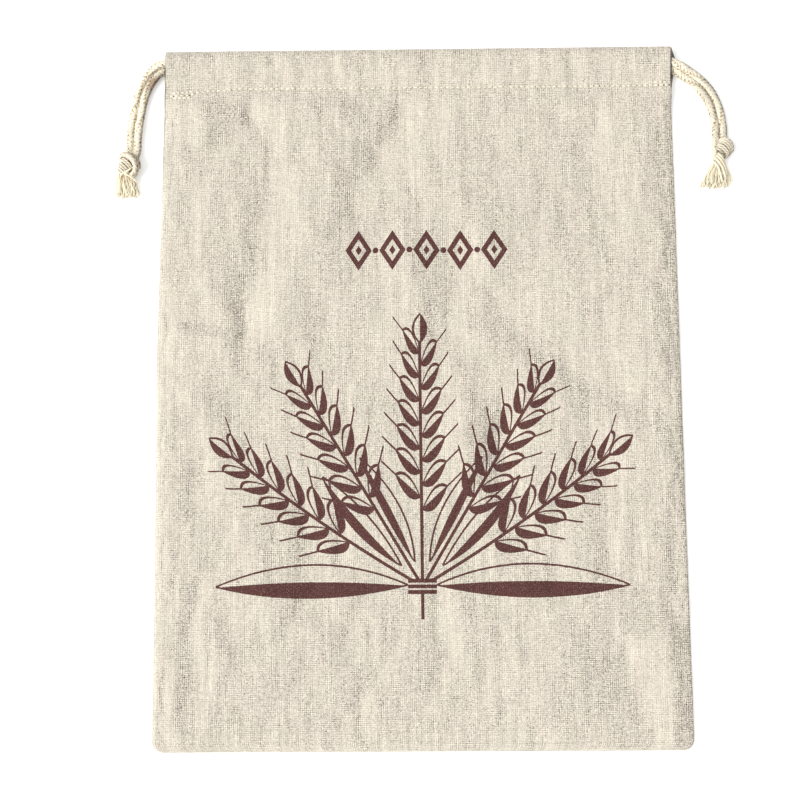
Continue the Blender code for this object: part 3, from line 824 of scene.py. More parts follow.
    def line_tone(self, bench: NodeBench, spot: Spot, warp: Signal, weft: Signal) -> Signal:
        """Light and dark yarns by turns, upright and level, each kind strong in patches of its own."""
        warp_turn, weft_turn = (warp * math.pi).cosine(), (weft * math.pi).cosine()
        upright = warp_turn * bench.cloud(spot, self.upright_lines).rise(*self.upright_range)
        level = weft_turn * bench.cloud(spot, self.level_lines).rise(*self.level_range)
        return (upright + level) * self.line_contrast + warp_turn * weft_turn * self.checker

    def weave(self, warp: Signal, weft: Signal, numbers: Spot) -> tuple[Signal, Signal]:
        """Height of plain weave and which yarn is on top.

        Each yarn is a half sine across. It is raised where it passes over, by a cosine along it whose sign
        changes from one yarn to the next, and the higher of the two yarns shows.

        Args:
            warp: Place across in upright yarns.
            weft: Place along in level yarns.
            numbers: Whole numbers of the upright and the level yarn.

        Returns:
            Height from 0 to 1, and a number over 1 where the upright yarn is on top.
        """
        warp_sign, weft_sign = ((number * math.pi).cosine() for number in numbers)
        level = 1.0 - self.lift
        warp_lift = ((weft - 0.5) * math.pi).cosine() * warp_sign * self.lift + level
        weft_lift = level - ((warp - 0.5) * math.pi).cosine() * weft_sign * self.lift
        warp_round = ((warp - numbers[0]) * math.pi).sine() * warp_lift
        weft_round = ((weft - numbers[1]) * math.pi).sine() * weft_lift
        return warp_round.most(weft_round), (warp_round > weft_round) + 0.5

    def yarn_tone(self, bench: NodeBench, spot: Spot, numbers: Spot, on_top: Signal) -> Signal:
        """Lightness of the yarn on top, from 0 to 1, uneven along each yarn and from one to the next."""
        across, along = (each / self.yarn_length for each in spot)
        warp, weft = (number * self.yarn_apart for number in numbers)
        upright = bench.noise(bench.vector(warp, along, 5.0), detail=3.0)
        level = bench.noise(bench.vector(across, weft, 19.0), detail=3.0)
        on_warp = (on_top - 0.5) * self.on_top
        return upright * (on_warp + self.upright_share) + level * (1.0 - self.upright_share - on_warp)

    def needle_hole_shade(self, bench: NodeBench) -> Signal:
        """Painted shade in the holes of the stitch row, about half of which show."""
        place = bench.node("ShaderNodeTexCoord", {}, {}, "Object") * 1000.0
        x, _y, _z = place.parts()
        cell = (x - self.holes_from) / self.hole_pitch
        number = cell.floor()
        beside, off = (cell - number - 0.5) * self.hole_pitch, bench.kept("off_row") * 1000.0
        opened = bench.chance(bench.vector(number, 0.5, 0.9)).rise(*self.hole_chance)
        in_row, at_ends = self.hole_opening
        opened = opened * (abs(x).rise(*self.back_tack_x) * at_ends + in_row)
        return (1.0 - (beside * beside + off * off).rise(*self.hole_edge)) * opened * self.hole_depth

    def flecks(self, bench: NodeBench, spot: Spot) -> Signal:
        """Scattered specks of seed coat: small spots in some cells of an uneven net."""
        cell = bench.vector(*(each / size for each, size in zip(spot, self.fleck_net)))
        near, chosen = (
            bench.node("ShaderNodeTexVoronoi", {}, {"Vector": cell, "Scale": 1.0}, output)
            for output in ("Distance", "Color")
        )
        red, green, _blue = chosen.parts()
        least, added = self.fleck_radius
        size = (red > self.no_fleck) * (green * added + least)
        return (size / near.most(0.001)).rise(*self.fleck_edge) * self.fleck_depth


@dataclass(frozen=True)
class BraidedCotton:
    """Soft cream cotton cord or yarn: light on its strands, with painted shade golden between them. Sizes are
    in millimetres.
    """

    name: str = "cream_cotton_cord"
    light: Colour = shade(252, 244, 223)
    shadow: Colour = shade(196, 170, 126)
    crevice_shade: Colour = shade(86, 70, 44)
    # Colour that low tones are multiplied by, a painted orange-brown shade
    shaded: Triple = (0.96, 0.74, 0.64)
    fibre_size: Cloud = (0.16, 3.0)
    fibre_relief: float = 0.16
    fibre_depth: float = 0.40
    bump: float = 0.7
    # Noise of the strands: how fast it changes across one and along one, and length of its drift in the cord
    strand_noise: Pair = (5.0, 0.6)
    drift_length: float = 40.0
    blotch_cloud: Cloud = (3.0, 5.0)
    blotch_depth: float = 0.18
    # Patches in which the painted shade lines between strands are deeper, and where they set in and are full
    line_cloud: Cloud = (1.4, 2.6, 17.0)
    line_range: Pair = (0.42, 0.64)
    line_depth: float = 0.95
    unevenness: float = 0.22
    # Hollows in which the painted shadow and the painted crevice shade set in and are full
    shadow_hollows: Pair = (0.22, 0.54)
    crevice_hollows: Pair = (0.36, 0.54)
    # Share of the painted crevice shade outside the patches, and what they add, in hollows and where painted
    # shade is kept
    hollow_lines: Pair = (0.14, 0.86)
    painted_shade_lines: Pair = (0.55, 0.35)
    # Tones at which the cord is painted fully shaded, and no longer shaded
    shaded_tones: Pair = (-0.7, 0.1)
    # Lightness at tone 0, and what a tone of 1 adds
    tone_light: Pair = (0.84, 0.36)

    def material(self) -> bpy.types.Material:
        """The cord's material, with painted shade from the hollows and the shade that its mesh keeps, and
        fibres along its own UV map.
        """
        bench = NodeBench(self.name)
        spot = bench.place()
        across, along = self.strand_noise
        strand, course = bench.kept("strand") * across, bench.kept("course") * along
        strand = bench.vector(strand, course, spot[1] / self.drift_length)
        fibre = (bench.cloud(spot, self.fibre_size) + bench.noise(strand)) * 0.5
        blotch = bench.cloud(spot, self.blotch_cloud)
        lined = bench.cloud(spot, self.line_cloud, detail=1.0).rise(*self.line_range)
        in_hollows, where_painted_shade = (
            lined * more + least for least, more in (self.hollow_lines, self.painted_shade_lines)
        )
        own = bench.chance(bench.vector(bench.kept("number").floor(), 0.5, 0.5)) - 0.5
        hollow, tone = bench.kept("hollow"), bench.kept("tone")
        # Painted shade: golden in the hollows, dark in the crevices and where the mesh keeps painted shade
        colour = bench.mix(hollow.rise(*self.shadow_hollows), self.light, self.shadow)
        crevice_shade = hollow.rise(*self.crevice_hollows) * in_hollows * self.line_depth
        colour = bench.mix(crevice_shade, colour, self.crevice_shade)
        colour = bench.mix(bench.kept("painted_shade") * where_painted_shade, colour, self.crevice_shade)
        light = 1.0 + (fibre - 0.5) * self.fibre_depth + (blotch - 0.5) * self.blotch_depth
        light = light + own * self.unevenness
        # Low tones are painted as orange-brown shade
        colour = bench.mix(tone.rise(*self.shaded_tones), colour * self.shaded, colour)
        return bench.dress(
            {
                "Base Color": colour * light * (self.tone_light[0] + tone * self.tone_light[1]),
                "Roughness": 0.88,
                "Specular IOR Level": 0.25,
                "Sheen Weight": 0.15,
                "Normal": bench.bump(fibre * self.fibre_relief, self.bump),
            }
        )


@dataclass(frozen=True)
class Outline:
    """Side edges of the flat bag with its rounded bottom corners."""

    length: float = 0.400
    corner: float = 0.006
    # Distance from the bottom, left edge, right edge, in millimetres
    sides: Table = (
        (0, -148, 147.4), (70, -148.3, 147.4), (140, -148.8, 147.4), (220, -149.6, 147.5),
        (300, -148.6, 147.6), (360, -148, 147.6), (376, -147.4, 147.5), (400, -147, 147.5),
    )
    # Distance from the bottom, how much further the back's right edge stands out, in millimetres
    ear: Table = ((366, 0), (374, 0.8), (382, 2), (390.5, 3.5), (394, 3), (398, 1.5), (400, 0.9))

    @property
    def mouth(self) -> float:
        """Y of the mouth's fold."""
        return self.length / 2

    @property
    def bottom(self) -> float:
        """Y of the bottom seam."""
        return -self.length / 2

    def edges(self, y: Array) -> tuple[Array, Array]:
        """Left and right edge at each y, pulled in by a quarter circle at the bottom corners."""
        heights, left, right = in_metres(self.sides)
        above = y - self.bottom
        rise = np.maximum(0.0, self.corner - above)
        pulled_in = self.corner - np.sqrt(np.maximum(0.0, self.corner**2 - rise**2))
        return np.interp(above, heights, left) + pulled_in, np.interp(above, heights, right) - pulled_in

    def back_ear(self, y: Array) -> Array:
        """How far the back stands out past the front's right edge."""
        return np.interp(y - self.bottom, *in_metres(self.ear))


@dataclass(frozen=True)
class Crumple:
    """Low irregular unevenness of handled cloth: a sum of waves of random length and heading."""

    seed: int
    waves: int = 46
    shortest: float = 0.008
    longest: float = 0.060
    slope: float = 0.030
    heading_spread: float = 0.55

    def height(self, x: Array, y: Array) -> Array:
        """Sum of sines. Each has the same steepness, so that its height grows with its wavelength.

        Args:
            x: Places across, in metres.
            y: Places along, in metres.

        Returns:
            Heights in metres, around 0.
        """
        draw = np.random.default_rng(self.seed)
        length = self.shortest * (self.longest / self.shortest) ** draw.random(self.waves)
        heading = draw.normal(0.0, self.heading_spread, self.waves)
        phase = draw.uniform(0.0, TURN, self.waves)
        height = self.slope * length / TURN * math.sqrt(2.0 / self.waves)
        total = np.zeros(np.broadcast(x, y).shape)
        for wave, turn, start, tall in zip(length, heading, phase, height):
            total += tall * np.sin(TURN / wave * (x * math.cos(turn) + y * math.sin(turn)) + start)
        return total


@dataclass
class Sheet(ABC):
    """A cloth of the bag: up its face to the stitches, over the cords to the mouth, and down its hem inside.

    A place on it has two parameters: the share of the width, and the run, which is y up to the stitches and
    goes on along the casing's section from there.
    """

    outline: Outline
    name: str
    node: str
    thickness: float = 0.0005
    stitch_y: float = 0.176
    hem_end_inset: float = 0.0105
    inset_depth: float = 0.006
    section_step: float = 0.0008
    # Section of the casing in millimetres: depth below the mouth, height
    section: Table = ()
    # Stretches of the run, and of the share of the width: start, end, step
    rows: Table = ()
    columns: Table = ()

    def section_line(self) -> tuple[Array, Array, Array]:
        """Run, y and z along the casing's section."""
        points = [(0.0, self.outline.mouth / MM - depth, height) for depth, height in self.section]
        line = smooth_route(points, self.section_step)
        return self.stitch_y + run_along(line), line[:, 1], line[:, 2]

    def edges(self, y: Array) -> tuple[Array, Array]:
        """Left and right edge of this cloth."""
        return self.outline.edges(y)

    @abstractmethod
    def face_height(self, x: Array, y: Array) -> Array:
        """Height of the cloth below the casing."""

    @abstractmethod
    def casing_relief(self, x: Array, run: Array) -> Array:
        """Unevenness that is added along the casing."""

    @abstractmethod
    def shading(self, points: Array) -> Array:
        """Painted shade: how dark the cloth is painted in its narrow creases and shaded edges, from 0 to 1.
        """

    def off_row(self, x: Array, run: Array) -> Array:
        """Distance from the row of stitches, along the cloth."""
        return run - row_y(x)

    def place(self, share: Array, run: Array) -> Array:
        """Points of the cloth.

        Args:
            share: Share of the width, from the left edge.
            run: Run from the bottom seam, as the class says.

        Returns:
            Points in metres, with a last axis of three.
        """
        share, run = np.broadcast_arrays(share, run)
        section_run, section_y, section_z = self.section_line()
        y = np.where(run < self.stitch_y, run, np.interp(run, section_run, section_y))
        fold_run = section_run[np.argmax(section_y)]
        depth = self.outline.mouth - y
        inset = np.where(run > fold_run, self.hem_end_inset * soft_step(depth / self.inset_depth), 0.0)
        left, right = self.edges(y)
        x = left + inset + (right - left - 2 * inset) * share
        casing = np.interp(run, section_run, section_z) + self.casing_relief(x, run)
        z = np.where(run < self.stitch_y, self.face_height(x, y), casing)
        return np.stack([x, y, z], axis=-1)

    def flat_size(self) -> Pair:
        """Width and length that the cloth was cut to."""
        left, right = self.edges(np.zeros(1))
        return float(right[0] - left[0]), self.rows[-1][1] - self.rows[0][0]

    def build(self, material: bpy.types.Material) -> bpy.types.Object:
        """Makes the cloth as a thin sheet.

        Args:
            material: Its finish.

        Returns:
            The sheet.
        """
        run, share = np.meshgrid(stretches(self.rows), stretches(self.columns), indexing="ij")
        points = self.place(share, run)
        faces = grid_faces(*run.shape, closed=False)
        width, _length = self.flat_size()
        flat = np.stack([(share - 0.5) * width, run], axis=-1).reshape(-1, 2)
        # Kept for the material: lean towards the light for the grain's painted shade, painted shade of
        # creases and edges, and distance from the stitch row
        values = {
            "lean": lean(points, LIGHT_SIDE).ravel(),
            "shade": self.shading(points).ravel(),
            "off_row": self.off_row(points[..., 0], run).ravel(),
        }
        corner_uv = flat[faces].reshape(-1, 2)
        obj = add_mesh(self.name, points.reshape(-1, 3), [faces], corner_uv, material, values)
        body = obj.modifiers.new("cloth thickness", "SOLIDIFY")
        body.thickness = self.thickness
        body.offset = 0.0
        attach(obj, "root")
        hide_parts(self.node)
        self.flat_size()
        return obj


@dataclass
class FrontCloth(Sheet):
    """The printed front: level, with folds, rolled down to the seams, with a casing over both cords."""

    name: str = "front_cloth"
    node: str = "front_panel"
    seam_z: float = 0.00105
    level_z: float = 0.0050
    stitch_z: float = 0.00475
    # Where the body's height is let down to the stitches: how far below them, and over which length
    casing_gap: float = 0.0015
    casing_blend: float = 0.013
    lowest_rise: float = 0.0006
    roll_width: float = 0.0034
    roll_share: float = 0.45
    settle_width: float = 0.012
    # How uneven the roll is along a side: strength, wavelengths, and phase at the left and at the right
    slack: float = 0.20
    slack_waves: tuple[float, ...] = (0.071, 0.041, 0.019)
    slack_phases: Pair = (1.0, 2.6)
    # The step over the seam allowance: where it starts and ends, the width of each edge, and its height
    allowance: Pair = (0.000198, 0.0044)
    allowance_edges: Pair = (0.00066, 0.0012)
    allowance_height: float = 0.00035
    groove_depth: float = 0.00028
    groove_width: float = 0.0011
    pucker_height: float = 0.00016
    pucker_reach: float = 0.0070
    # Gathers beside the stitches: wavelength and phase of each wave
    pucker_waves: Table = ((0.0061, 1.0), (0.0094, 0.0), (0.0173, 2.0))
    # The casing's relief: how far before the mouth's fold it is gone, over which run, and its crumpling
    fold_margin: float = 0.003
    fold_blend: float = 0.004
    casing_crumple: float = 0.7
    # Its side edges turn down: over which width, how far, and the share of the curve that is past the edge
    turned_width: float = 0.0014
    turned_depth: float = 0.0007
    turned_off: float = 0.2
    section: Table = (
        (24, 4.75), (20, 5.45), (16.4, 6.75), (12.6, 7.85), (9, 8.45), (6.2, 8.55), (4.2, 8.15), (2.6, 7.05),
        (1.4, 5.7), (0.6, 4.8), (0.3, 4.2), (0.55, 3.7), (1.4, 3.4), (6, 3.25), (9.4, 3.6), (11.2, 4.9),
        (12.4, 5.95), (14, 6.35), (15.6, 5.95), (16.8, 4.9), (18.6, 3.85), (22, 4), (25.5, 4.1),
    )
    crumple: Crumple = Crumple(seed=11, slope=0.050, shortest=0.007, longest=0.045)
    # Lines of painted shade: width over which they fade, and the share of it before they do
    line_width: float = 0.0009
    line_full: float = 0.4
    # Painted shade along the side edges: y in millimetres, darkness from 0 to 1
    left_shade_line: Table = (
        (-200, 0.16), (-60, 0), (90, 0.12), (141, 0.4), (160, 0.5), (176, 0.72), (182, 0.45), (184, 0.92),
        (188, 0.92), (190, 0.2), (200, 0.1),
    )
    right_shade_line: Table = (
        (-200, 0.22), (60, 0.1), (150, 0), (174, 0.35), (179, 0.7), (182, 0.92), (191, 0.92), (195, 0.5),
        (200, 0.15),
    )
    # Painted shade along the mouth: x, darkness
    mouth_shade_line: Table = ((-148, 0.06), (60, 0.04), (112, 0.08), (128, 0.16), (148, 0.18))
    rows: Table = (
        (-0.2, -0.194, 0.0005), (-0.194, 0.166, 0.0021), (0.166, 0.179, 0.0007), (0.179, 0.2345, 0.0010),
    )
    columns: Table = ((0.0, 0.021, 0.0016), (0.021, 0.979, 0.0071), (0.979, 1.0, 0.0016))

    def rim(self, distance: Array) -> Array:
        """Share of the rise from the seam to the level cloth: a quarter round, then a longer soft slope."""
        rolled = quarter_round(distance / self.roll_width)
        return self.roll_share * rolled + (1.0 - self.roll_share) * soft_step(distance / self.settle_width)

    def slackness(self, y: Array, phase: float) -> Array:
        """How wide the roll beside a seam is along it, around 1: a sum of waves."""
        waves = [np.sin(y * TURN / wave + phase * number) for number, wave in enumerate(self.slack_waves, 1)]
        return 1.0 + self.slack * sum(waves)

    def allowance_step(self, distance: Array) -> Array:
        """The low step over the seam allowance that lies inside, beside each seam."""
        edges = zip(self.allowance, self.allowance_edges)
        risen, gone = (soft_step((distance - place) / width) for place, width in edges)
        return self.allowance_height * (risen - gone)

    def face_height(self, x: Array, y: Array) -> Array:
        """Level height plus folds, times the share of the rise at the seams, and let down to the stitches.

        The bag's own folds are added up, then its crumpling.
        """
        left, right = self.edges(y)
        slack_left, slack_right = (self.slackness(y, phase) for phase in self.slack_phases)
        to_side = np.minimum((x - left) / slack_left, (right - x) / slack_right)
        to_bottom = y - self.outline.bottom
        to_seam = np.minimum(to_side, to_bottom)
        inside = self.rim(to_side) * self.rim(to_bottom)
        folded = sum(fold.rise(x, y) for fold in BODY_FOLDS)
        rise = np.maximum(self.level_z - self.seam_z + folded, self.lowest_rise)
        cloth = self.seam_z + inside * rise + self.allowance_step(to_seam)
        cloth = cloth + self.crumple.height(x, y) * soft_step(to_seam / self.settle_width)
        below = soft_step((self.stitch_y - self.casing_gap - y) / self.casing_blend)
        return self.stitch_z + (cloth - self.stitch_z) * below + self.stitch_relief(x, y)

    def stitch_relief(self, x: Array, run: Array) -> Array:
        """The groove of the stitch row and the small gathers beside it, fading away from the row."""
        away = self.off_row(x, run)
        gathers = sum(np.sin(x * TURN / wave + phase) for wave, phase in self.pucker_waves)
        fading = np.exp(-np.abs(away) / self.pucker_reach)
        return self.pucker_height * gathers * fading - self.groove_depth * bell(away / self.groove_width)

    def shading(self, points: Array) -> Array:
        """Painted shade: dark lines along both side edges and the mouth, fading inwards."""
        x, y = points[..., 0], points[..., 1]
        left, right = self.edges(y)
        dark = np.zeros(x.shape)
        lines = (
            (x - left, y, self.left_shade_line),
            (right - x, y, self.right_shade_line),
            (self.outline.mouth - y, x, self.mouth_shade_line),
        )
        for distance, along, line in lines:
            places, darkness = np.asarray(line, float).T
            near = 1.0 - soft_step((distance - self.line_width * self.line_full) / self.line_width)
            dark = np.maximum(dark, near * np.interp(along, places * MM, darkness))
        return dark

    def casing_relief(self, x: Array, run: Array) -> Array:
        """Gathers and crumpling on the outer side of the casing, gone at the mouth's fold and on the hem."""
        section_run, section_y, _section_z = self.section_line()
        fold_run = section_run[np.argmax(section_y)]
        outer = soft_step((fold_run - self.fold_margin - run) / self.fold_blend)
        left, right = self.edges(run * 0)
        from_side = np.minimum(x - left, right - x)
        rounded = quarter_round(from_side / self.turned_width + self.turned_off)
        turned = (1.0 - rounded) * self.turned_depth
        gathers = sum(fold.rise(x, run) for fold in CASING_FOLDS)
        crumpled = self.crumple.height(x, run) * self.casing_crumple
        return (self.stitch_relief(x, run) + gathers + crumpled - turned) * outer


@dataclass
class BackCloth(Sheet):
    """The bare back: flat on the surface, curling up to the seams, with its own casing under the front's."""

    name: str = "back_cloth"
    node: str = "back_panel"
    flat_z: float = 0.00030
    seam_rise: float = 0.00022
    roll_width: float = 0.0030
    section: Table = (
        (24, 0.3), (12, 0.3), (3, 0.3), (0.8, 0.4), (0.4, 0.75), (0.8, 1.1), (3, 1.2), (9, 1.2), (11, 2.1),
        (11.9, 4.3), (13, 5.55), (14, 5.8), (15, 5.55), (16.1, 4.3), (17, 2.1), (19, 1), (25.5, 0.95),
    )
    rows: Table = (
        (-0.2, -0.194, 0.0010), (-0.194, 0.176, 0.0050), (0.176, 0.198, 0.0050), (0.198, 0.2340, 0.0008),
    )
    columns: Table = ((0.0, 0.021, 0.0035), (0.021, 0.979, 0.0160), (0.979, 1.0, 0.0035))
    # The ear beside the casing: its rise, its painted shade, the width of its edge, and y where each sets in
    ear_rise: float = 0.0030
    ear_shade: float = 0.60
    ear_edge: float = 0.0024
    ear_rises: Pair = (0.1885, 0.004)
    ear_darkens: Pair = (0.160, 0.015)

    def edges(self, y: Array) -> tuple[Array, Array]:
        """The front's edges, with the back's ear at the right of the casing."""
        left, right = self.outline.edges(y)
        return left, right + self.outline.back_ear(y)

    def past_front(self, x: Array, y: Array) -> Array:
        """Share of the ear, which is what stands out past the front's right edge: 0 inside it, 1 outside."""
        return soft_step((x - self.outline.edges(y)[1] + self.ear_edge / 2) / self.ear_edge)

    def casing_relief(self, x: Array, run: Array) -> Array:
        """The ear curls up above the cord."""
        section_run, section_y, _section_z = self.section_line()
        y = np.interp(run, section_run, section_y)
        outer, (start, width) = run < section_run[np.argmax(section_y)], self.ear_rises
        return outer * self.ear_rise * self.past_front(x, y) * soft_step((y - start) / width)

    def shading(self, points: Array) -> Array:
        """The ear is dark, in the front's shade."""
        x, y, (start, width) = points[..., 0], points[..., 1], self.ear_darkens
        return self.ear_shade * self.past_front(x, y) * soft_step((y - start) / width)

    def face_height(self, x: Array, y: Array) -> Array:
        """Flat, and raised by the rest of a quarter round beside the seams."""
        left, right = self.edges(y)
        to_edge = np.minimum(np.minimum(x - left, right - x), y - self.outline.bottom)
        return self.flat_z + self.seam_rise * (1.0 - quarter_round(to_edge / self.roll_width))


@dataclass
class CasingStitches:
    """The row of lockstitches that closes a casing, with a denser run back over it at each end."""

    cloth: Sheet
    name: str = "casing_stitches"
    pitch: float = 0.0031
    length: float = 0.0023
    radius: float = 0.00044
    sunk: float = 0.00006
    arch: float = 0.00012
    # Extra stitches at the ends, in millimetres: first x, last x, y offset, share of the pitch
    back_tacks: Table = ((-142.0, -131.5, 1.7, 0.82), (-141.0, -133.0, -1.5, 0.82), (138.5, 144.5, 1.6, 0.82))
    # Distance from the middle at which the stitches begin to be clearer, and over which they do
    ends_from: float = 0.122
    ends_over: float = 0.012
    # Ranges that their lengths, slants and the painted shade at their holes are drawn from
    lengths: Pair = (0.85, 1.12)
    slants: Pair = (-0.06, 0.10)
    hole_depths: Pair = (0.35, 1.0)
    # Painted shade at the holes and lightness of the thread: in the row, and what the ends add
    hole_shades: Pair = (0.3, 0.7)
    tones: Pair = (0.64, 0.36)
    # Radius at a stitch's ends as a share of the full one, and where the painted shade of its tips sets in,
    # over which length
    tip_radius: float = 0.55
    tips: Pair = (0.24, 0.14)
    seed: int = 5

    def spots(self) -> Array:
        """Middle of each stitch: x and run, in metres."""
        spots, whole_row = [], (STITCH_ROW[0][0], STITCH_ROW[-1][0], 0.0, 1.0)
        for first, last, offset, closer in (whole_row, *self.back_tacks):
            x = np.arange(first * MM, last * MM, self.pitch * closer)
            spots.append(np.stack([x, row_y(x) + offset * MM], axis=1))
        return np.concatenate(spots)

    def build(self, material: bpy.types.Material) -> bpy.types.Object:
        """Lays a short thread with round ends at each spot, half sunk into the cloth.

        A stitch is a path along the row, lifted by a half sine, with a radius that falls to its ends. It has
        painted shade at its ends, where it goes down through its holes.
        """
        spots = self.spots()
        rings, sides, end_slope = 9, 8, 0.94
        draw = np.random.default_rng(self.seed)
        steps = np.linspace(-0.5, 0.5, rings)
        lengths = self.length * draw.uniform(*self.lengths, len(spots))
        slant = draw.uniform(*self.slants, len(spots))
        x = spots[:, :1] + steps * lengths[:, None]
        run = spots[:, 1:] + steps * lengths[:, None] * slant[:, None]
        left, right = self.cloth.edges(run)
        points = self.cloth.place((x - left) / (right - left), run)
        points[..., 2] += self.cloth.thickness / 2 - self.sunk + self.arch * np.cos(math.pi * steps)
        rounded = np.sqrt(np.cos(math.pi * steps * end_slope))
        radius = self.radius * (self.tip_radius + (1.0 - self.tip_radius) * rounded)
        shape = (*points.shape[:2], sides)
        depth = draw.uniform(*self.hole_depths, (len(spots), 1, 1))
        near_end = soft_step((np.abs(spots[:, 0]) - self.ends_from) / self.ends_over)
        dark, tone = (in_row + added * near_end for in_row, added in (self.hole_shades, self.tones))
        tip, width = self.tips
        tips = soft_step((np.abs(steps) - tip) / width)[:, None]
        # Painted shade at the thread's tips, where it goes down into the cloth
        holes = np.broadcast_to(tips * depth * dark[:, None, None], shape)
        radius = np.broadcast_to(radius[None, :, None], shape)
        tubes = TubeSet(points, radius, {"painted_shade": holes}, tone=tone)
        obj = tubes.build(self.name, material)
        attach(obj, "root")
        return obj


@dataclass
class TubeSet:
    """Round tubes along several paths, each closed at both ends.

    A point of a tube is its path's point plus the radius there times the cosine of its angle to the side and
    the sine of its angle upwards, across the path.

    Attributes:
        paths: Points of each path, in the shape (tubes, rings, 3).
        radius: Radius of each point, in the shape (tubes, rings, sides).
        values: Named numbers of each point, in the radius's shape.
        tone: Lightness of each tube, from 0 to 1.
        flatten: Height of the section over its width.
        cut_at: Distance along its map at which the first tube begins.
        apart: Distance along the map from the start of one tube to that of the next.
    """

    paths: Array
    radius: Array
    values: dict[str, Array] = field(default_factory=dict)
    tone: Array | None = None
    flatten: float = 1.0
    cut_at: float = 0.0
    apart: float = 0.037

    def points(self) -> Array:
        """Points of the tubes' walls, in the shape (tubes, rings, sides, 3)."""
        tangent = unit(np.gradient(self.paths, axis=1))
        side = unit(np.cross(UP, tangent))
        top = np.cross(tangent, side)
        angle = np.arange(self.radius.shape[2]) * TURN / self.radius.shape[2]
        across = (self.radius * np.cos(angle))[..., None] * side[:, :, None, :]
        above = (self.radius * np.sin(angle) * self.flatten)[..., None] * top[:, :, None, :]
        return self.paths[:, :, None, :] + across + above

    def faces(self) -> tuple[Array, Array]:
        """Faces of the walls, and the triangles that close the ends around one point each."""
        tubes, rings, sides = self.radius.shape
        first = (np.arange(tubes) * rings * sides)[:, None, None]
        walls = (grid_faces(rings, sides, closed=True)[None] + first).reshape(-1, 4)
        column = np.arange(sides)
        beside = (column + 1) % sides
        last = (rings - 1) * sides
        pole = tubes * rings * sides + 2 * np.arange(tubes)[:, None]
        near, far = first[:, 0], first[:, 0] + last
        start = np.stack([pole + 0 * column, near + beside, near + column], axis=-1)
        end = np.stack([pole + 1 + 0 * column, far + column, far + beside], axis=-1)
        return walls, np.concatenate([start.reshape(-1, 3), end.reshape(-1, 3)])

    def corner_uv(self) -> Array:
        """Place of each face corner: distance round the tube and run along it, with the tubes set apart."""
        tubes, rings, sides = self.radius.shape
        run = self.cut_at + run_along(self.paths) + np.arange(tubes)[:, None] * self.apart
        step = TURN * float(np.mean(self.radius)) / sides
        column = np.arange(sides)
        u = np.stack([column, column + 1, column + 1, column], axis=-1) * step
        v = np.stack([run[:, :-1], run[:, :-1], run[:, 1:], run[:, 1:]], axis=-1)
        walls = np.stack(np.broadcast_arrays(u[None, None], v[:, :, None, :]), axis=-1).reshape(-1, 2)
        ends = np.concatenate([np.repeat(run[:, 0], 3 * sides), np.repeat(run[:, -1], 3 * sides)])
        return np.concatenate([walls, np.stack([ends * 0, ends], axis=-1)])

    def build(self, name: str, material: bpy.types.Material) -> bpy.types.Object:
        """Makes all the tubes as one mesh object."""
        tubes, rings, sides = self.radius.shape
        tone = np.full(tubes, 0.5) if self.tone is None else self.tone
        ends = self.paths[:, [0, -1]].reshape(-1, 3)
        values = {"tone": np.concatenate([np.repeat(tone, rings * sides), np.repeat(tone, 2)])}
        for label, numbers in self.values.items():
            values[label] = np.concatenate([numbers.ravel(), numbers[:, [0, -1]].mean(axis=2).ravel()])
        points = np.concatenate([self.points().reshape(-1, 3), ends])
        return add_mesh(name, points, self.faces(), self.corner_uv(), material, values)


def crowding(points: Array, path: Array, others: Sequence[Line], reach: float = 0.0009) -> Array:
    """How closely each point of a tube's wall is faced by other tubes.

    The gap is the distance to the other tube's path less its radius, looked for around the nearest place.

    Args:
        points: Points of the wall, in the shape (rings, sides, 3).
        path: Middle of each ring.
        others: Path and radius of each other tube.
        reach: Gap at which nothing is felt any more.

    Returns:
        Numbers from 0 to 1, in the shape (rings, sides).
    """
    around = range(-9, 10, 3)
    gap = np.full(points.shape[:2], reach)
    for line, radius in others:
        apart = np.linalg.norm(path[:, None, :] - line[None, :, :], axis=-1)
        nearest = np.argmin(apart, axis=1)
        for shift in around:
            facing = line[np.clip(nearest + shift, 0, len(line) - 1)]
            gap = np.minimum(gap, np.linalg.norm(points - facing[:, None, :], axis=-1) - radius)
    return 1.0 - soft_step(gap / reach)


def lee_side(wall: Array, path: Array) -> Array:
    """How much each point of a tube's wall lies low on its right, away from the light: 0 to 1."""
    top, top_width, side, side_width = 0.86, 0.34, 0.10, 0.40
    outwards = unit(wall - path[..., None, :])
    low = soft_step((top - outwards[..., 2]) / top_width)
    return low * soft_step((outwards[..., 0] - side) / side_width)


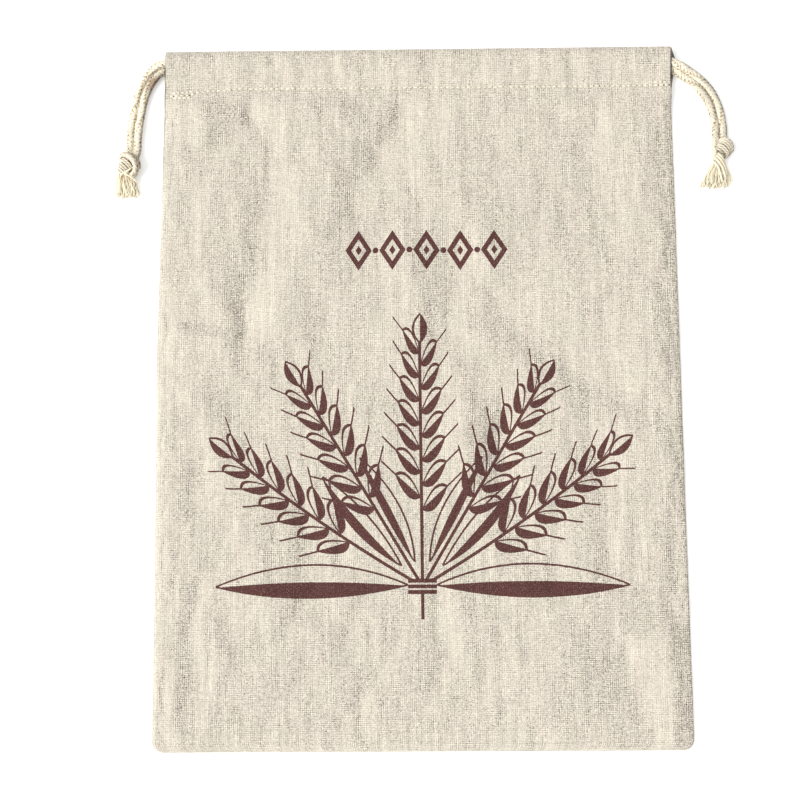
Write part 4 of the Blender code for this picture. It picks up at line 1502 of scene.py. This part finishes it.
@dataclass(frozen=True)
class Braid:
    """A round braid: strands that wind both ways and pass over two and under two.

    Attributes:
        strands: Strands that wind each way, an even number.
        lay: Length in which a strand goes once round.
        relief: Depth of the hollows between strands as a share of the radius.
        roundness: Power of the distance from a strand's middle. A high one is flat with steep sides.
        rounding: Depth of a strand's sides, as a share of its height.
        crossing: How much a strand rises and sinks where it crosses others.
        wander: How far the braid turns to and fro along the cord, in turns.
        swings: Wavelength, strength and phase of each wave of that turning.
        unevenness: How far a strand's edges stray, as a share of its width.
        strays: Turns and wavelength of the strays of each way's strands.
        sides: Points around the cord.
        step: Spacing of its rings.
    """

    strands: int = 6
    lay: float = 0.0132
    relief: float = 0.28
    roundness: float = 3.0
    rounding: float = 0.75
    crossing: float = 0.22
    wander: float = 0.16
    swings: Table = ((0.047, 1.0, 0.0), (0.021, 0.25, 1.0))
    unevenness: float = 0.20
    strays: Table = ((2, 0.0093), (3, -0.0127))
    sides: int = 48
    step: float = 0.00042

    def form(self, run: Array) -> dict[str, Array]:
        """Height of the braid at each point, and the place on the strand that shows there.

        Across, each strand is 1 less a power of the distance from its middle. It is raised where it passes
        over, by a cosine of the crossing strands' number whose phase moves on by one from each strand to the
        next, so that the strands of one way show side by side in columns along the cord. The higher strand
        shows.

        Args:
            run: Distance along the cord of each ring.

        Returns:
            Height from 0 to 1, place across the strand from 0 to 1, and place along it in strands' widths.
        """
        swing = sum(strength * np.sin(run * TURN / wave + phase) for wave, strength, phase in self.swings)
        turn = np.arange(self.sides)[None, :] / self.sides + self.wander * swing[:, None]
        ways = []
        for way, (turns, wave) in zip((1.0, -1.0), self.strays):
            stray = np.sin(turns * TURN * turn + run[:, None] * TURN / wave)
            ways.append(self.strands * (turn + way * run[:, None] / self.lay) + self.unevenness * stray)
        right, left = ways
        quarter = math.pi / 2
        numbers = np.floor(right), np.floor(left)
        over = np.cos(quarter * (left + numbers[0])), -np.cos(quarter * (right + numbers[1] + 1.0))
        heights = []
        for own, number, raised in zip(ways, numbers, over):
            rounding = 1.0 - self.rounding * np.abs(2 * (own - number) - 1) ** self.roundness
            heights.append(rounding * (1.0 - self.crossing + self.crossing * raised))
        first = heights[0] > heights[1]
        return {
            "height": np.maximum(heights[0], heights[1]),
            "strand": np.where(first, right - numbers[0], left - numbers[1]),
            "course": np.where(first, left, -right),
            "number": np.where(first, numbers[0], -1.0 - numbers[1]) + 0.5,
        }

    def tube(
        self,
        path: Array,
        radius: float,
        flatten: float = 1.0,
        others: Sequence[Line] = (),
        press: float = 1.0,
        lee: Array | float = 0.0,
        cut_at: float = 0.0,
    ) -> TubeSet:
        """A braided tube along one path, cut from a longer braid at this distance along it.

        It gets painted shade where other tubes press against it, and elsewhere on its lee side, away from the
        light.
        """
        form = self.form(run_along(path) + cut_at)
        hollow = 1.0 - form.pop("height")
        relief = (radius * (1.0 - self.relief * hollow))[None]
        tube = TubeSet(path[None], relief, flatten=flatten, cut_at=cut_at)
        wall = tube.points()[0]
        crowded = crowding(wall, path, others)
        # Painted shade where other tubes press against the wall, and on its lee side
        painted_shade = np.maximum(crowded * press, lee_side(wall, path) * (1.0 - crowded) * lee)
        form |= {"hollow": hollow, "painted_shade": painted_shade}
        tube.values = {label: numbers[None] for label, numbers in form.items()}
        return tube


@dataclass
class Drawstring:
    """A braided cord from knot to knot, through one casing."""

    name: str
    node: str
    route: Route
    beside: Route
    diameter: float = 0.0042
    spread: float = 1.15
    cut_at: float = 0.0
    # Strength of the painted shade where the other cord presses against it
    press: float = 0.04
    # Painted shade on the lee side, away from the light, at the left knot and at the right one, and the x's
    # between which it changes
    lee: Pair = (0.80, 1.0)
    lee_x: Pair = (-0.15, 0.15)
    # Painted light on the cord beside the other one, against the shade of the groove between them, and the
    # gap within which it is
    lifted: float = 0.75
    lifted_gap: float = 0.0024
    braid: Braid = Braid()
    # Painted light and shade along the cord: x in metres, tone of which 0 to 1 is the usual range
    tones: Table = ((0.0, 0.5),)

    def path(self) -> Array:
        """Evenly spaced points along the cord's route."""
        return smooth_route(self.route, self.braid.step)

    def build(self, material: bpy.types.Material) -> bpy.types.Object:
        """Makes the cord on its route, a little flattened, with painted light beside the other cord."""
        path = self.path()
        radius = self.diameter / 2 * self.spread
        others = [(smooth_route(self.beside, self.braid.step), radius)]
        lee = np.interp(path[:, :1], self.lee_x, self.lee)
        tube = self.braid.tube(path, radius, 1.0 / self.spread, others, self.press, lee, self.cut_at)
        # Painted light and shade along the cord, and painted light beside the other cord
        tone = np.interp(path[:, 0], *np.transpose(self.tones))[:, None]
        beside = crowding(tube.points()[0], path, others, self.lifted_gap)
        tube.values["tone"] = (tone + beside * self.lifted)[None]
        obj = tube.build(self.name, material)
        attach(obj, "root")
        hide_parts(self.node)
        return obj

    def declare(self, cord: bpy.types.Object, on_it: Sequence[bpy.types.Object]) -> None:
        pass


@dataclass(frozen=True)
class Turn:
    """One turn of cord in a knot, in millimetres: radius, points from the knot's middle, and flatness."""

    radius: float
    points: Route
    flatten: float = 1.0


def yarns(*rows: tuple) -> tuple[Turn, ...]:
    """Single yarns from rows of their radius and the points along them."""
    return tuple(Turn(radius, points) for radius, *points in rows)


@dataclass(frozen=True)
class Bundle:
    """Loosened strands of cord side by side between two edges, from the knot's middle, in millimetres.

    Attributes:
        strands: How many there are.
        radius: Radius of a strand.
        bulge: How much higher than the edges the middle strands lie.
        first: Route of the first edge.
        last: Route of the last edge.
    """

    strands: int
    radius: float
    bulge: float
    first: Route
    last: Route


def plied(paths: Array, radius: Array, lay: float = 0.0045, sides: int = 9) -> TubeSet:
    """Round yarns of three plies, whose lobes turn along them.

    Args:
        paths: Points of each yarn, in the shape (yarns, rings, 3).
        radius: Radius of each ring, in the shape (yarns, rings).
        lay: Length in which a lobe goes once round.
        sides: Points around a yarn.

    Returns:
        The yarns, with the hollows between their plies, which are painted as shade.
    """
    plies, depth, even, swing = 3, 0.12, 0.22, 0.30
    angle = np.arange(sides) * TURN / sides
    lobes = np.cos(plies * (angle + run_along(paths)[:, :, None] * TURN / lay))
    hollow = np.clip(even - swing * lobes, 0.0, 1.0)
    return TubeSet(paths, radius[:, :, None] * (1.0 + depth * lobes), {"hollow": hollow})


@dataclass
class Knot:
    """An overhand knot of both cords: braided turns over a round heart, and frayed yarns below its foot.

    Places are in millimetres from the knot's middle, with z from the surface.
    """

    name: str
    node: str
    middle: Pair
    heart: Triple
    heart_radii: Triple
    turns: tuple[Turn, ...]
    foot: Pair
    foot_half: float
    tips: Pair
    tips_half: float
    seed: int
    # Layers of yarns: how many, share of the length, height at the root, height at the tip, radius
    layers: Table = (
        (15, 1, 1.5, 0.55, 0.52), (14, 0.98, 2.4, 1.35, 0.52), (13, 0.93, 3.3, 2, 0.5),
        (9, 0.84, 4.1, 2.6, 0.48),
    )
    bundles: tuple[Bundle, ...] = ()
    # Single yarns that lie on top
    strays: tuple[Turn, ...] = ()
    # Strength of the painted shade where tubes press together, and on the lee side away from the light
    press: float = 1.0
    lee: float = 0.5
    turn_tone: float = 0.5
    bundle_tone: float = 0.4
    yarn_tones: Pair = (0.0, 1.0)
    # Share of the hollows' painted shade on the turns, and painted shade at the yarns' roots under the knot
    turn_hollows: float = 1.0
    root_shade: float = 0.45
    # Ranges that the frayed yarns' lengths, roots, waves, lifts and thicknesses are drawn from
    lengths: Pair = (0.88, 1.02)
    roots: Pair = (0.6, 1.0)
    waves: Pair = (0.3, 1.1)
    wave_turns: Pair = (0.7, 1.5)
    lifts: Pair = (-0.15, 0.5)
    thicknesses: Pair = (0.85, 1.1)
    # How far they start inside the knot, bow outwards and arch up
    tucked: float = 1.4
    bow: float = 1.1
    arch: float = 0.25
    braid: Braid = Braid(step=0.00036)

    def at(self, places: Array) -> Array:
        """Places given from the knot's middle, in the bag's frame, still in millimetres."""
        return np.asarray(places, float) + np.array([*self.middle, 0.0])

    def line(self, route: Route) -> Array:
        """Evenly spaced points on a route given from the knot's middle, in metres."""
        return smooth_route(self.at(route), self.braid.step)

    def build_turns(self, material: bpy.types.Material) -> bpy.types.Object:
        """Makes the turns and the heart that fills the space between them, joined into one piece."""
        pieces = []
        lines = [(self.line(turn.points), turn.radius * MM) for turn in self.turns]
        edges = [(self.line(bundle.first), bundle.radius * MM) for bundle in self.bundles]
        for number, turn in enumerate(self.turns):
            path, radius = lines[number]
            others = lines[:number] + lines[number + 1 :] + edges
            tube = self.braid.tube(path, radius, turn.flatten, others, self.press, self.lee)
            tube.values["hollow"] *= self.turn_hollows
            tube.tone = np.array([self.turn_tone])
            pieces.append(tube.build(f"{self.name}_turn_{number}", material))
        for number, bundle in enumerate(self.bundles):
            strands = self.strands(bundle, lines)
            pieces.append(strands.build(f"{self.name}_bundle_{number}", material))
        pieces.append(self.build_heart(material))
        main = pieces[0]
        with bpy.context.temp_override(active_object=main, selected_editable_objects=pieces):
            bpy.ops.object.join()
        main.name = f"{self.name}_turns"
        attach(main, "root")
        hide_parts(self.node)
        return main

    def strands(self, bundle: Bundle, others: Sequence[Line], rings: int = 40) -> TubeSet:
        """A bundle's strands: each is the two edges' mix for its share of the width, raised by a half sine.

        They have painted shade along their sides, where the other tubes press against them, and on their lee
        side.
        """
        sides, side_shade, uneven, own_tone = 16, 0.52, 0.2, 0.35
        first, last = (evenly(self.line(edge), rings) for edge in (bundle.first, bundle.last))
        draw = np.random.default_rng(self.seed + 100)
        share = np.linspace(0.0, 1.0, bundle.strands)
        share = share + draw.uniform(-uneven, uneven, bundle.strands) / bundle.strands
        share = np.clip(share, 0.0, 1.0)[:, None, None]
        paths = first + (last - first) * share
        across_bulge = np.sin(math.pi * share[..., 0]) * np.sin(math.pi * np.linspace(0.0, 1.0, rings))
        paths[..., 2] += bundle.bulge * MM * across_bulge
        strands = plied(paths, np.full(paths.shape[:2], bundle.radius * MM), lay=0.0060, sides=sides)
        aside = np.abs(np.cos(np.arange(sides) * TURN / sides)) ** 3 * side_shade
        walls = strands.points()
        crowded = np.stack([crowding(wall, path, others) for wall, path in zip(walls, paths)])
        strands.values["painted_shade"] = np.maximum(np.maximum(aside, crowded), lee_side(walls, paths) * self.lee)
        strands.tone = self.bundle_tone + draw.uniform(-own_tone, own_tone, bundle.strands)
        return strands

    def build_heart(self, material: bpy.types.Material) -> bpy.types.Object:
        """A short thick tube whose radius follows an oval, inside the turns, painted all over as the shade
        between them.
        """
        reach, rings, sides = 0.98, 21, 24
        across, along, tall = self.heart_radii
        steps = np.linspace(-reach, reach, rings)
        middle = self.at(self.heart) * MM
        path = middle + np.stack([0 * steps, steps * along * MM, 0 * steps], axis=-1)
        radius = across * MM * np.sqrt(1.0 - steps**2)
        radius = np.broadcast_to(radius[None, :, None], (1, rings, sides))
        # Cord inside the knot, painted as shade so that gaps between the turns read as shadow
        depth = {"hollow": np.full(radius.shape, 0.8), "painted_shade": np.full(radius.shape, 1.0)}
        tubes = TubeSet(path[None], radius, depth, flatten=tall / across)
        return tubes.build(f"{self.name}_heart", material)

    def build_fray(self, material: bpy.types.Material) -> bpy.types.Object:
        """Makes the frayed yarns and the single ones on top.

        A yarn runs from the foot to its tip, bowed outwards by a half sine and waved more towards the tip.
        """
        rings, jitter, widest, shortened, early, clearance = 26, 1.1, 1.05, 0.07, 1.4, 1.12
        tip_from, tip_over, thinned = 0.93, 0.07, 0.35
        draw = np.random.default_rng(self.seed)
        steps = np.linspace(0.0, 1.0, rings)
        paths, radii = [], []
        for count, share, root_z, tip_z, radius in self.layers:
            across = np.linspace(-1.0, 1.0, count) + draw.normal(0.0, jitter, count) / count
            across = np.clip(across, -widest, widest)
            length = share * (1.0 - shortened * across**2) * draw.uniform(*self.lengths, count)
            root_x = self.foot[0] + across * self.foot_half * draw.uniform(*self.roots, count)
            root_y = np.full(count, self.foot[1] + self.tucked)
            tip_x = self.tips[0] + across * self.tips_half * share
            tip_x = root_x + (tip_x - root_x) * length
            tip_y = root_y + (self.tips[1] - root_y) * length
            t, column = steps[None, :], (count, 1)
            tall = draw.uniform(*self.waves, column)
            wave = tall * np.sin(TURN * (t * draw.uniform(*self.wave_turns, column) + draw.random(column)))
            half_sine = np.sin(math.pi * t)
            x = root_x[:, None] + (tip_x - root_x)[:, None] * t
            x = x + across[:, None] * half_sine * self.bow + wave * t
            y = root_y[:, None] + (tip_y - root_y)[:, None] * t
            rise = draw.uniform(*self.lifts, column) * t
            z = root_z + (tip_z - root_z) * soft_step(t * early) + rise + self.arch * half_sine
            z = np.maximum(z, radius * clearance)
            paths.append(self.at(np.stack([x, y, z], axis=-1)) * MM)
            radii.append(np.full((count, len(steps)), radius * MM) * draw.uniform(*self.thicknesses, column))
        frayed = sum(len(each) for each in paths)
        for stray in self.strays:
            paths.append(evenly(self.line(stray.points), len(steps))[None])
            radii.append(np.full((1, len(steps)), stray.radius * MM))
        taper = 1.0 - thinned * soft_step((steps - tip_from) / tip_over)
        tubes = plied(np.concatenate(paths), np.concatenate(radii) * taper)
        # Painted shade at the roots of the frayed yarns, under the knot
        tubes.values["hollow"][:frayed] += self.root_shade * (1.0 - steps)[:, None] ** 3
        low, high = self.yarn_tones
        tubes.tone = np.append(draw.uniform(low, high, frayed), np.full(len(self.strays), high))
        obj = tubes.build(f"{self.name}_fray", material)
        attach(obj, "root")
        return obj


FRONT_CORD = Drawstring(
    name="front_cord", node="front_drawstring", route=FRONT_CORD_ROUTE, beside=BACK_CORD_ROUTE,
    cut_at=0.2270,
    # Painted light near the left knot and painted shade near the right one
    tones=(
        (-0.169, 0.72), (-0.1672, 0.92), (-0.1655, 1.15), (-0.16, 1.05), (-0.148, 0.7), (0.15, 0.66),
        (0.162, 0.36), (0.171, -0.02), (0.178, 0.1),
    ),
)
BACK_CORD = Drawstring(
    name="back_cord", node="back_drawstring", route=BACK_CORD_ROUTE, beside=FRONT_CORD_ROUTE, cut_at=0.6135,
    # Painted light near the left knot, a patch of painted shade where it lies under the front cord, and
    # painted shade near the right knot
    tones=(
        (-0.165, 0.68), (-0.1632, 0.88), (-0.1615, 1.12), (-0.16, 1), (-0.1578, -0.3), (-0.1545, -0.7),
        (-0.1525, -0.1), (-0.146, 0.15), (0.15, 0.66), (0.16, 0.36), (0.168, 0.04), (0.173, 0.25),
    ),
)
LEFT_KNOT = Knot(
    name="left_knot", node="left_knot", middle=(-168.0, 131.0), heart=(0.4, 0.0, 3.0),
    heart_radii=(4.8, 5.6, 2.7),
    turns=(
        Turn(
            2.0,
            (
                (-4.1, 6.1, 3.2), (-1.9, 6.3, 4.8), (1.1, 5, 6.2), (3.6, 2.7, 6.9), (4.8, 0, 6.6),
                (4.8, -2.4, 5.7), (3.9, -4.4, 4.6), (2.1, -5.4, 3.4),
            ),
        ),
        Turn(1.5, ((-0.4, 7.3, 3), (2.9, 5.9, 4), (5.1, 3.5, 4.5), (5.9, 1, 4), (5.6, -1.2, 3))),
        Turn(2, ((0.9, -2, 3.4), (-0.5, -4, 3.4), (-1.2, -6.2, 2.8), (-1.2, -8.1, 2.3)), 0.9),
    ),
    bundles=(
        Bundle(
            strands=6, radius=0.68, bulge=0.9,
            first=(
                (-4.9, 6.2, 2.6), (-3.4, 5, 4.2), (-1.7, 3.5, 5.4), (0, 1.9, 5.9), (1.3, 0.5, 5.8),
                (2.2, -0.8, 5), (2.6, -1.8, 3.8),
            ),
            last=(
                (-6.4, -1.6, 1.4), (-6.2, -2.2, 2.2), (-5.6, -2.9, 2.9), (-4.8, -3.7, 3.4), (-3.9, -4.4, 3.5),
                (-3, -5, 3.2), (-2.4, -5.6, 2.6),
            ),
        ),
    ),
    strays=yarns(
        (0.6, (2.3, -1, 4.8), (1.3, -2.4, 5.3), (-0.6, -3.5, 5.1), (-2.6, -4.4, 4.4), (-4.4, -5.6, 3.2)),
        (0.5, (-1.9, -4.9, 4.4), (0.6, -6, 4.7), (2.8, -7.4, 4), (5, -9.4, 3)),
        (0.55, (-6, -2, 2.2), (-6.5, -6, 2), (-7.2, -11, 1.6), (-7.9, -17, 0.8)),
        (0.55, (-5.5, -3.2, 2.8), (-5.6, -7.5, 2.4), (-6.3, -12.5, 1.8), (-6.6, -18, 0.8)),
    ),
    foot=(-1.2, -5.5), foot_half=2.0, tips=(-0.4, -19.0), tips_half=6.8, seed=21, turn_tone=0.28,
    bundle_tone=0.75, yarn_tones=(0.35, 1.15),
)
RIGHT_KNOT = Knot(
    name="right_knot", node="right_knot", middle=(176.2, 139.2), heart=(-0.2, -1.0, 3.1),
    heart_radii=(4.6, 4.8, 2.7),
    turns=(
        Turn(2, ((-4, 4.6, 2.6), (-4.7, 2, 3.4), (-4.9, -1.5, 3.7), (-4.6, -5, 3.7), (-3.9, -8.2, 3.2))),
        Turn(3.2, ((-1.6, -4, 3.3), (-2.2, -6.6, 3.4), (-2.9, -9.4, 3), (-3.4, -12.4, 2.1)), 0.64),
    ),
    bundles=(
        Bundle(
            strands=7, radius=0.70, bulge=1.2,
            first=(
                (-1.2, 4.6, 3.4), (1.2, 4.6, 4.6), (3.4, 3.4, 5), (5, 1.4, 4.6), (5.8, -0.8, 3.6),
                (5.7, -2.6, 2.4),
            ),
            last=(
                (-5.6, -0.6, 4.4), (-4.2, -1.8, 5.6), (-2.6, -3.2, 6.2), (-0.8, -4.6, 5.9), (0.8, -5.8, 4.8),
                (2, -6.8, 3.4),
            ),
        ),
    ),
    strays=yarns(
        (0.62, (-6, -6.4, 3.6), (-4.4, -8.4, 5.3), (-2.4, -10.8, 5.2), (-0.6, -13.8, 4.1), (0.8, -18.6, 3)),
        (0.62, (-5, -5.4, 4.4), (-3.2, -7.2, 5.6), (-1.2, -9.6, 5.1), (0.4, -12.4, 3.6), (1.9, -17, 2.6)),
        (0.62, (-6.2, -8.6, 3.4), (-5, -10.6, 4.8), (-3.4, -13.2, 4.7), (-2, -17, 3.6), (-1, -21, 2.6)),
        (0.62, (-3.6, -4.6, 5), (-1.8, -6.4, 5.4), (-0.2, -8.4, 4.3), (1, -11, 3), (2.4, -15, 2.4)),
        (0.5, (-0.2, -9.2, 2.6), (1.8, -13, 2.2), (3.2, -17.6, 1.4), (4.1, -22.6, 0.7)),
        (0.5, (-0.2, -9.4, 2.2), (2.2, -13.2, 1.7), (4.2, -16.8, 1.1), (5, -20.4, 0.7)),
        (0.55, (-5.8, -9.6, 2.8), (-7.4, -13.6, 2.4), (-9.8, -18.6, 1.6), (-12.2, -23.8, 0.8)),
    ),
    foot=(-3.0, -10.8), foot_half=2.6, tips=(-5.4, -25.2), tips_half=7.4, seed=22, press=0.40, lee=0.85,
    turn_tone=0.36, bundle_tone=0.60, yarn_tones=(0.05, 0.85), turn_hollows=0.85, root_shade=0.15,
)


@dataclass
class Studio:
    """Camera, floor and soft light. Places are in metres and angles in radians."""

    camera_place: Triple = (-0.00283, -0.09830, 0.6900)
    camera_turn: Triple = (0.1320, 0.01318, -0.0064)
    lens: float = 55.28
    sensor: float = 36.0
    floor_half: float = 4.0
    floor_tone: float = 0.97
    floor_glow: float = 0.25
    sky_strength: float = 0.76
    sun_strength: float = 3.20
    sun_spread: float = math.radians(50)
    # Direction that the light comes from
    sun_from: Triple = (-0.74, -0.22, 0.60)

    def place_camera(self) -> None:
        """The camera where the photograph's was."""
        data = bpy.data.cameras.new("photo_view")
        data.lens = self.lens
        data.sensor_width = self.sensor
        data.clip_start = 0.02
        camera = bpy.data.objects.new("photo_view", data)
        camera.location = self.camera_place
        camera.rotation_euler = self.camera_turn
        bpy.context.scene.collection.objects.link(camera)
        bpy.context.scene.camera = camera

    def light(self) -> None:
        """A pale sky all round and one broad light from the front left."""
        scene = bpy.context.scene
        scene.view_settings.view_transform = "Standard"
        world = bpy.data.worlds.new("soft_sky")
        world.use_nodes = True
        sky = world.node_tree.nodes["Background"]
        sky.inputs["Color"].default_value = (1.0, 0.995, 0.985, 1.0)
        sky.inputs["Strength"].default_value = self.sky_strength
        scene.world = world
        data = bpy.data.lights.new("broad_light", "SUN")
        data.energy = self.sun_strength
        data.angle = self.sun_spread
        sun = bpy.data.objects.new("broad_light", data)
        back = np.array(self.sun_from) / np.linalg.norm(self.sun_from)
        sun.rotation_euler = (math.acos(back[2]), 0.0, math.atan2(back[1], back[0]) + math.pi / 2)
        scene.collection.objects.link(sun)

    def lay_floor(self) -> None:
        """A plain pale floor with its top at z 0, softly lit from below as a light table is."""
        half = self.floor_half
        corners = np.array([[-half, -half, 0.0], [half, -half, 0.0], [half, half, 0.0], [-half, half, 0.0]])
        bench = NodeBench("pale_floor")
        tone = self.floor_tone
        bench.dress(
            {
                "Base Color": (tone, tone, tone, 1.0),
                "Roughness": 0.9,
                "Specular IOR Level": 0.1,
                "Emission Color": (1.0, 1.0, 1.0, 1.0),
                "Emission Strength": self.floor_glow,
            }
        )
        floor = add_mesh("floor", corners, [np.array([[0, 1, 2, 3]])], corners[:, :2], bench.material)


def report(piece: bpy.types.Object) -> None:
    """Logs a piece's name and its number of faces."""
    LOG.info("made %s with %d faces", piece.name, len(piece.data.polygons))


def write_sizes() -> None:
    """Brings the placements of all objects up to date."""
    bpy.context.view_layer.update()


def main() -> None:
    """Builds the studio, the cords, the knots, the cloths and their stitches."""
    logging.basicConfig(level=logging.INFO, format="%(name)s: %(message)s")
    studio = Studio()
    studio.place_camera()
    cord_cotton = BraidedCotton().material()
    yarn_cotton = BraidedCotton(
        name="frayed_cotton_yarn",
        light=shade(254, 246, 220),
        shadow=shade(208, 176, 124),
        fibre_size=(0.10, 2.0),
    ).material()
    thread = BraidedCotton(name="sewing_thread", fibre_size=(0.2, 0.5)).material()
    cords = [cord.build(cord_cotton) for cord in (FRONT_CORD, BACK_CORD)]
    knots = [
        (knot.build_turns(cord_cotton), knot.build_fray(yarn_cotton)) for knot in (LEFT_KNOT, RIGHT_KNOT)
    ]
    for drawstring, cord, knot in zip((FRONT_CORD, BACK_CORD), cords, knots):
        drawstring.declare(cord, knot)
        for piece in (cord, *knot):
            report(piece)
    outline = Outline()
    cotton = UnbleachedCotton()
    front = FrontCloth(outline)
    back = BackCloth(outline)
    report(front.build(cotton.material(ClothFace.PRINTED)))
    report(back.build(cotton.material(ClothFace.BARE)))
    report(CasingStitches(front).build(thread))
    studio.lay_floor()
    studio.light()
    write_sizes()


if __name__ == "__main__":
    main()
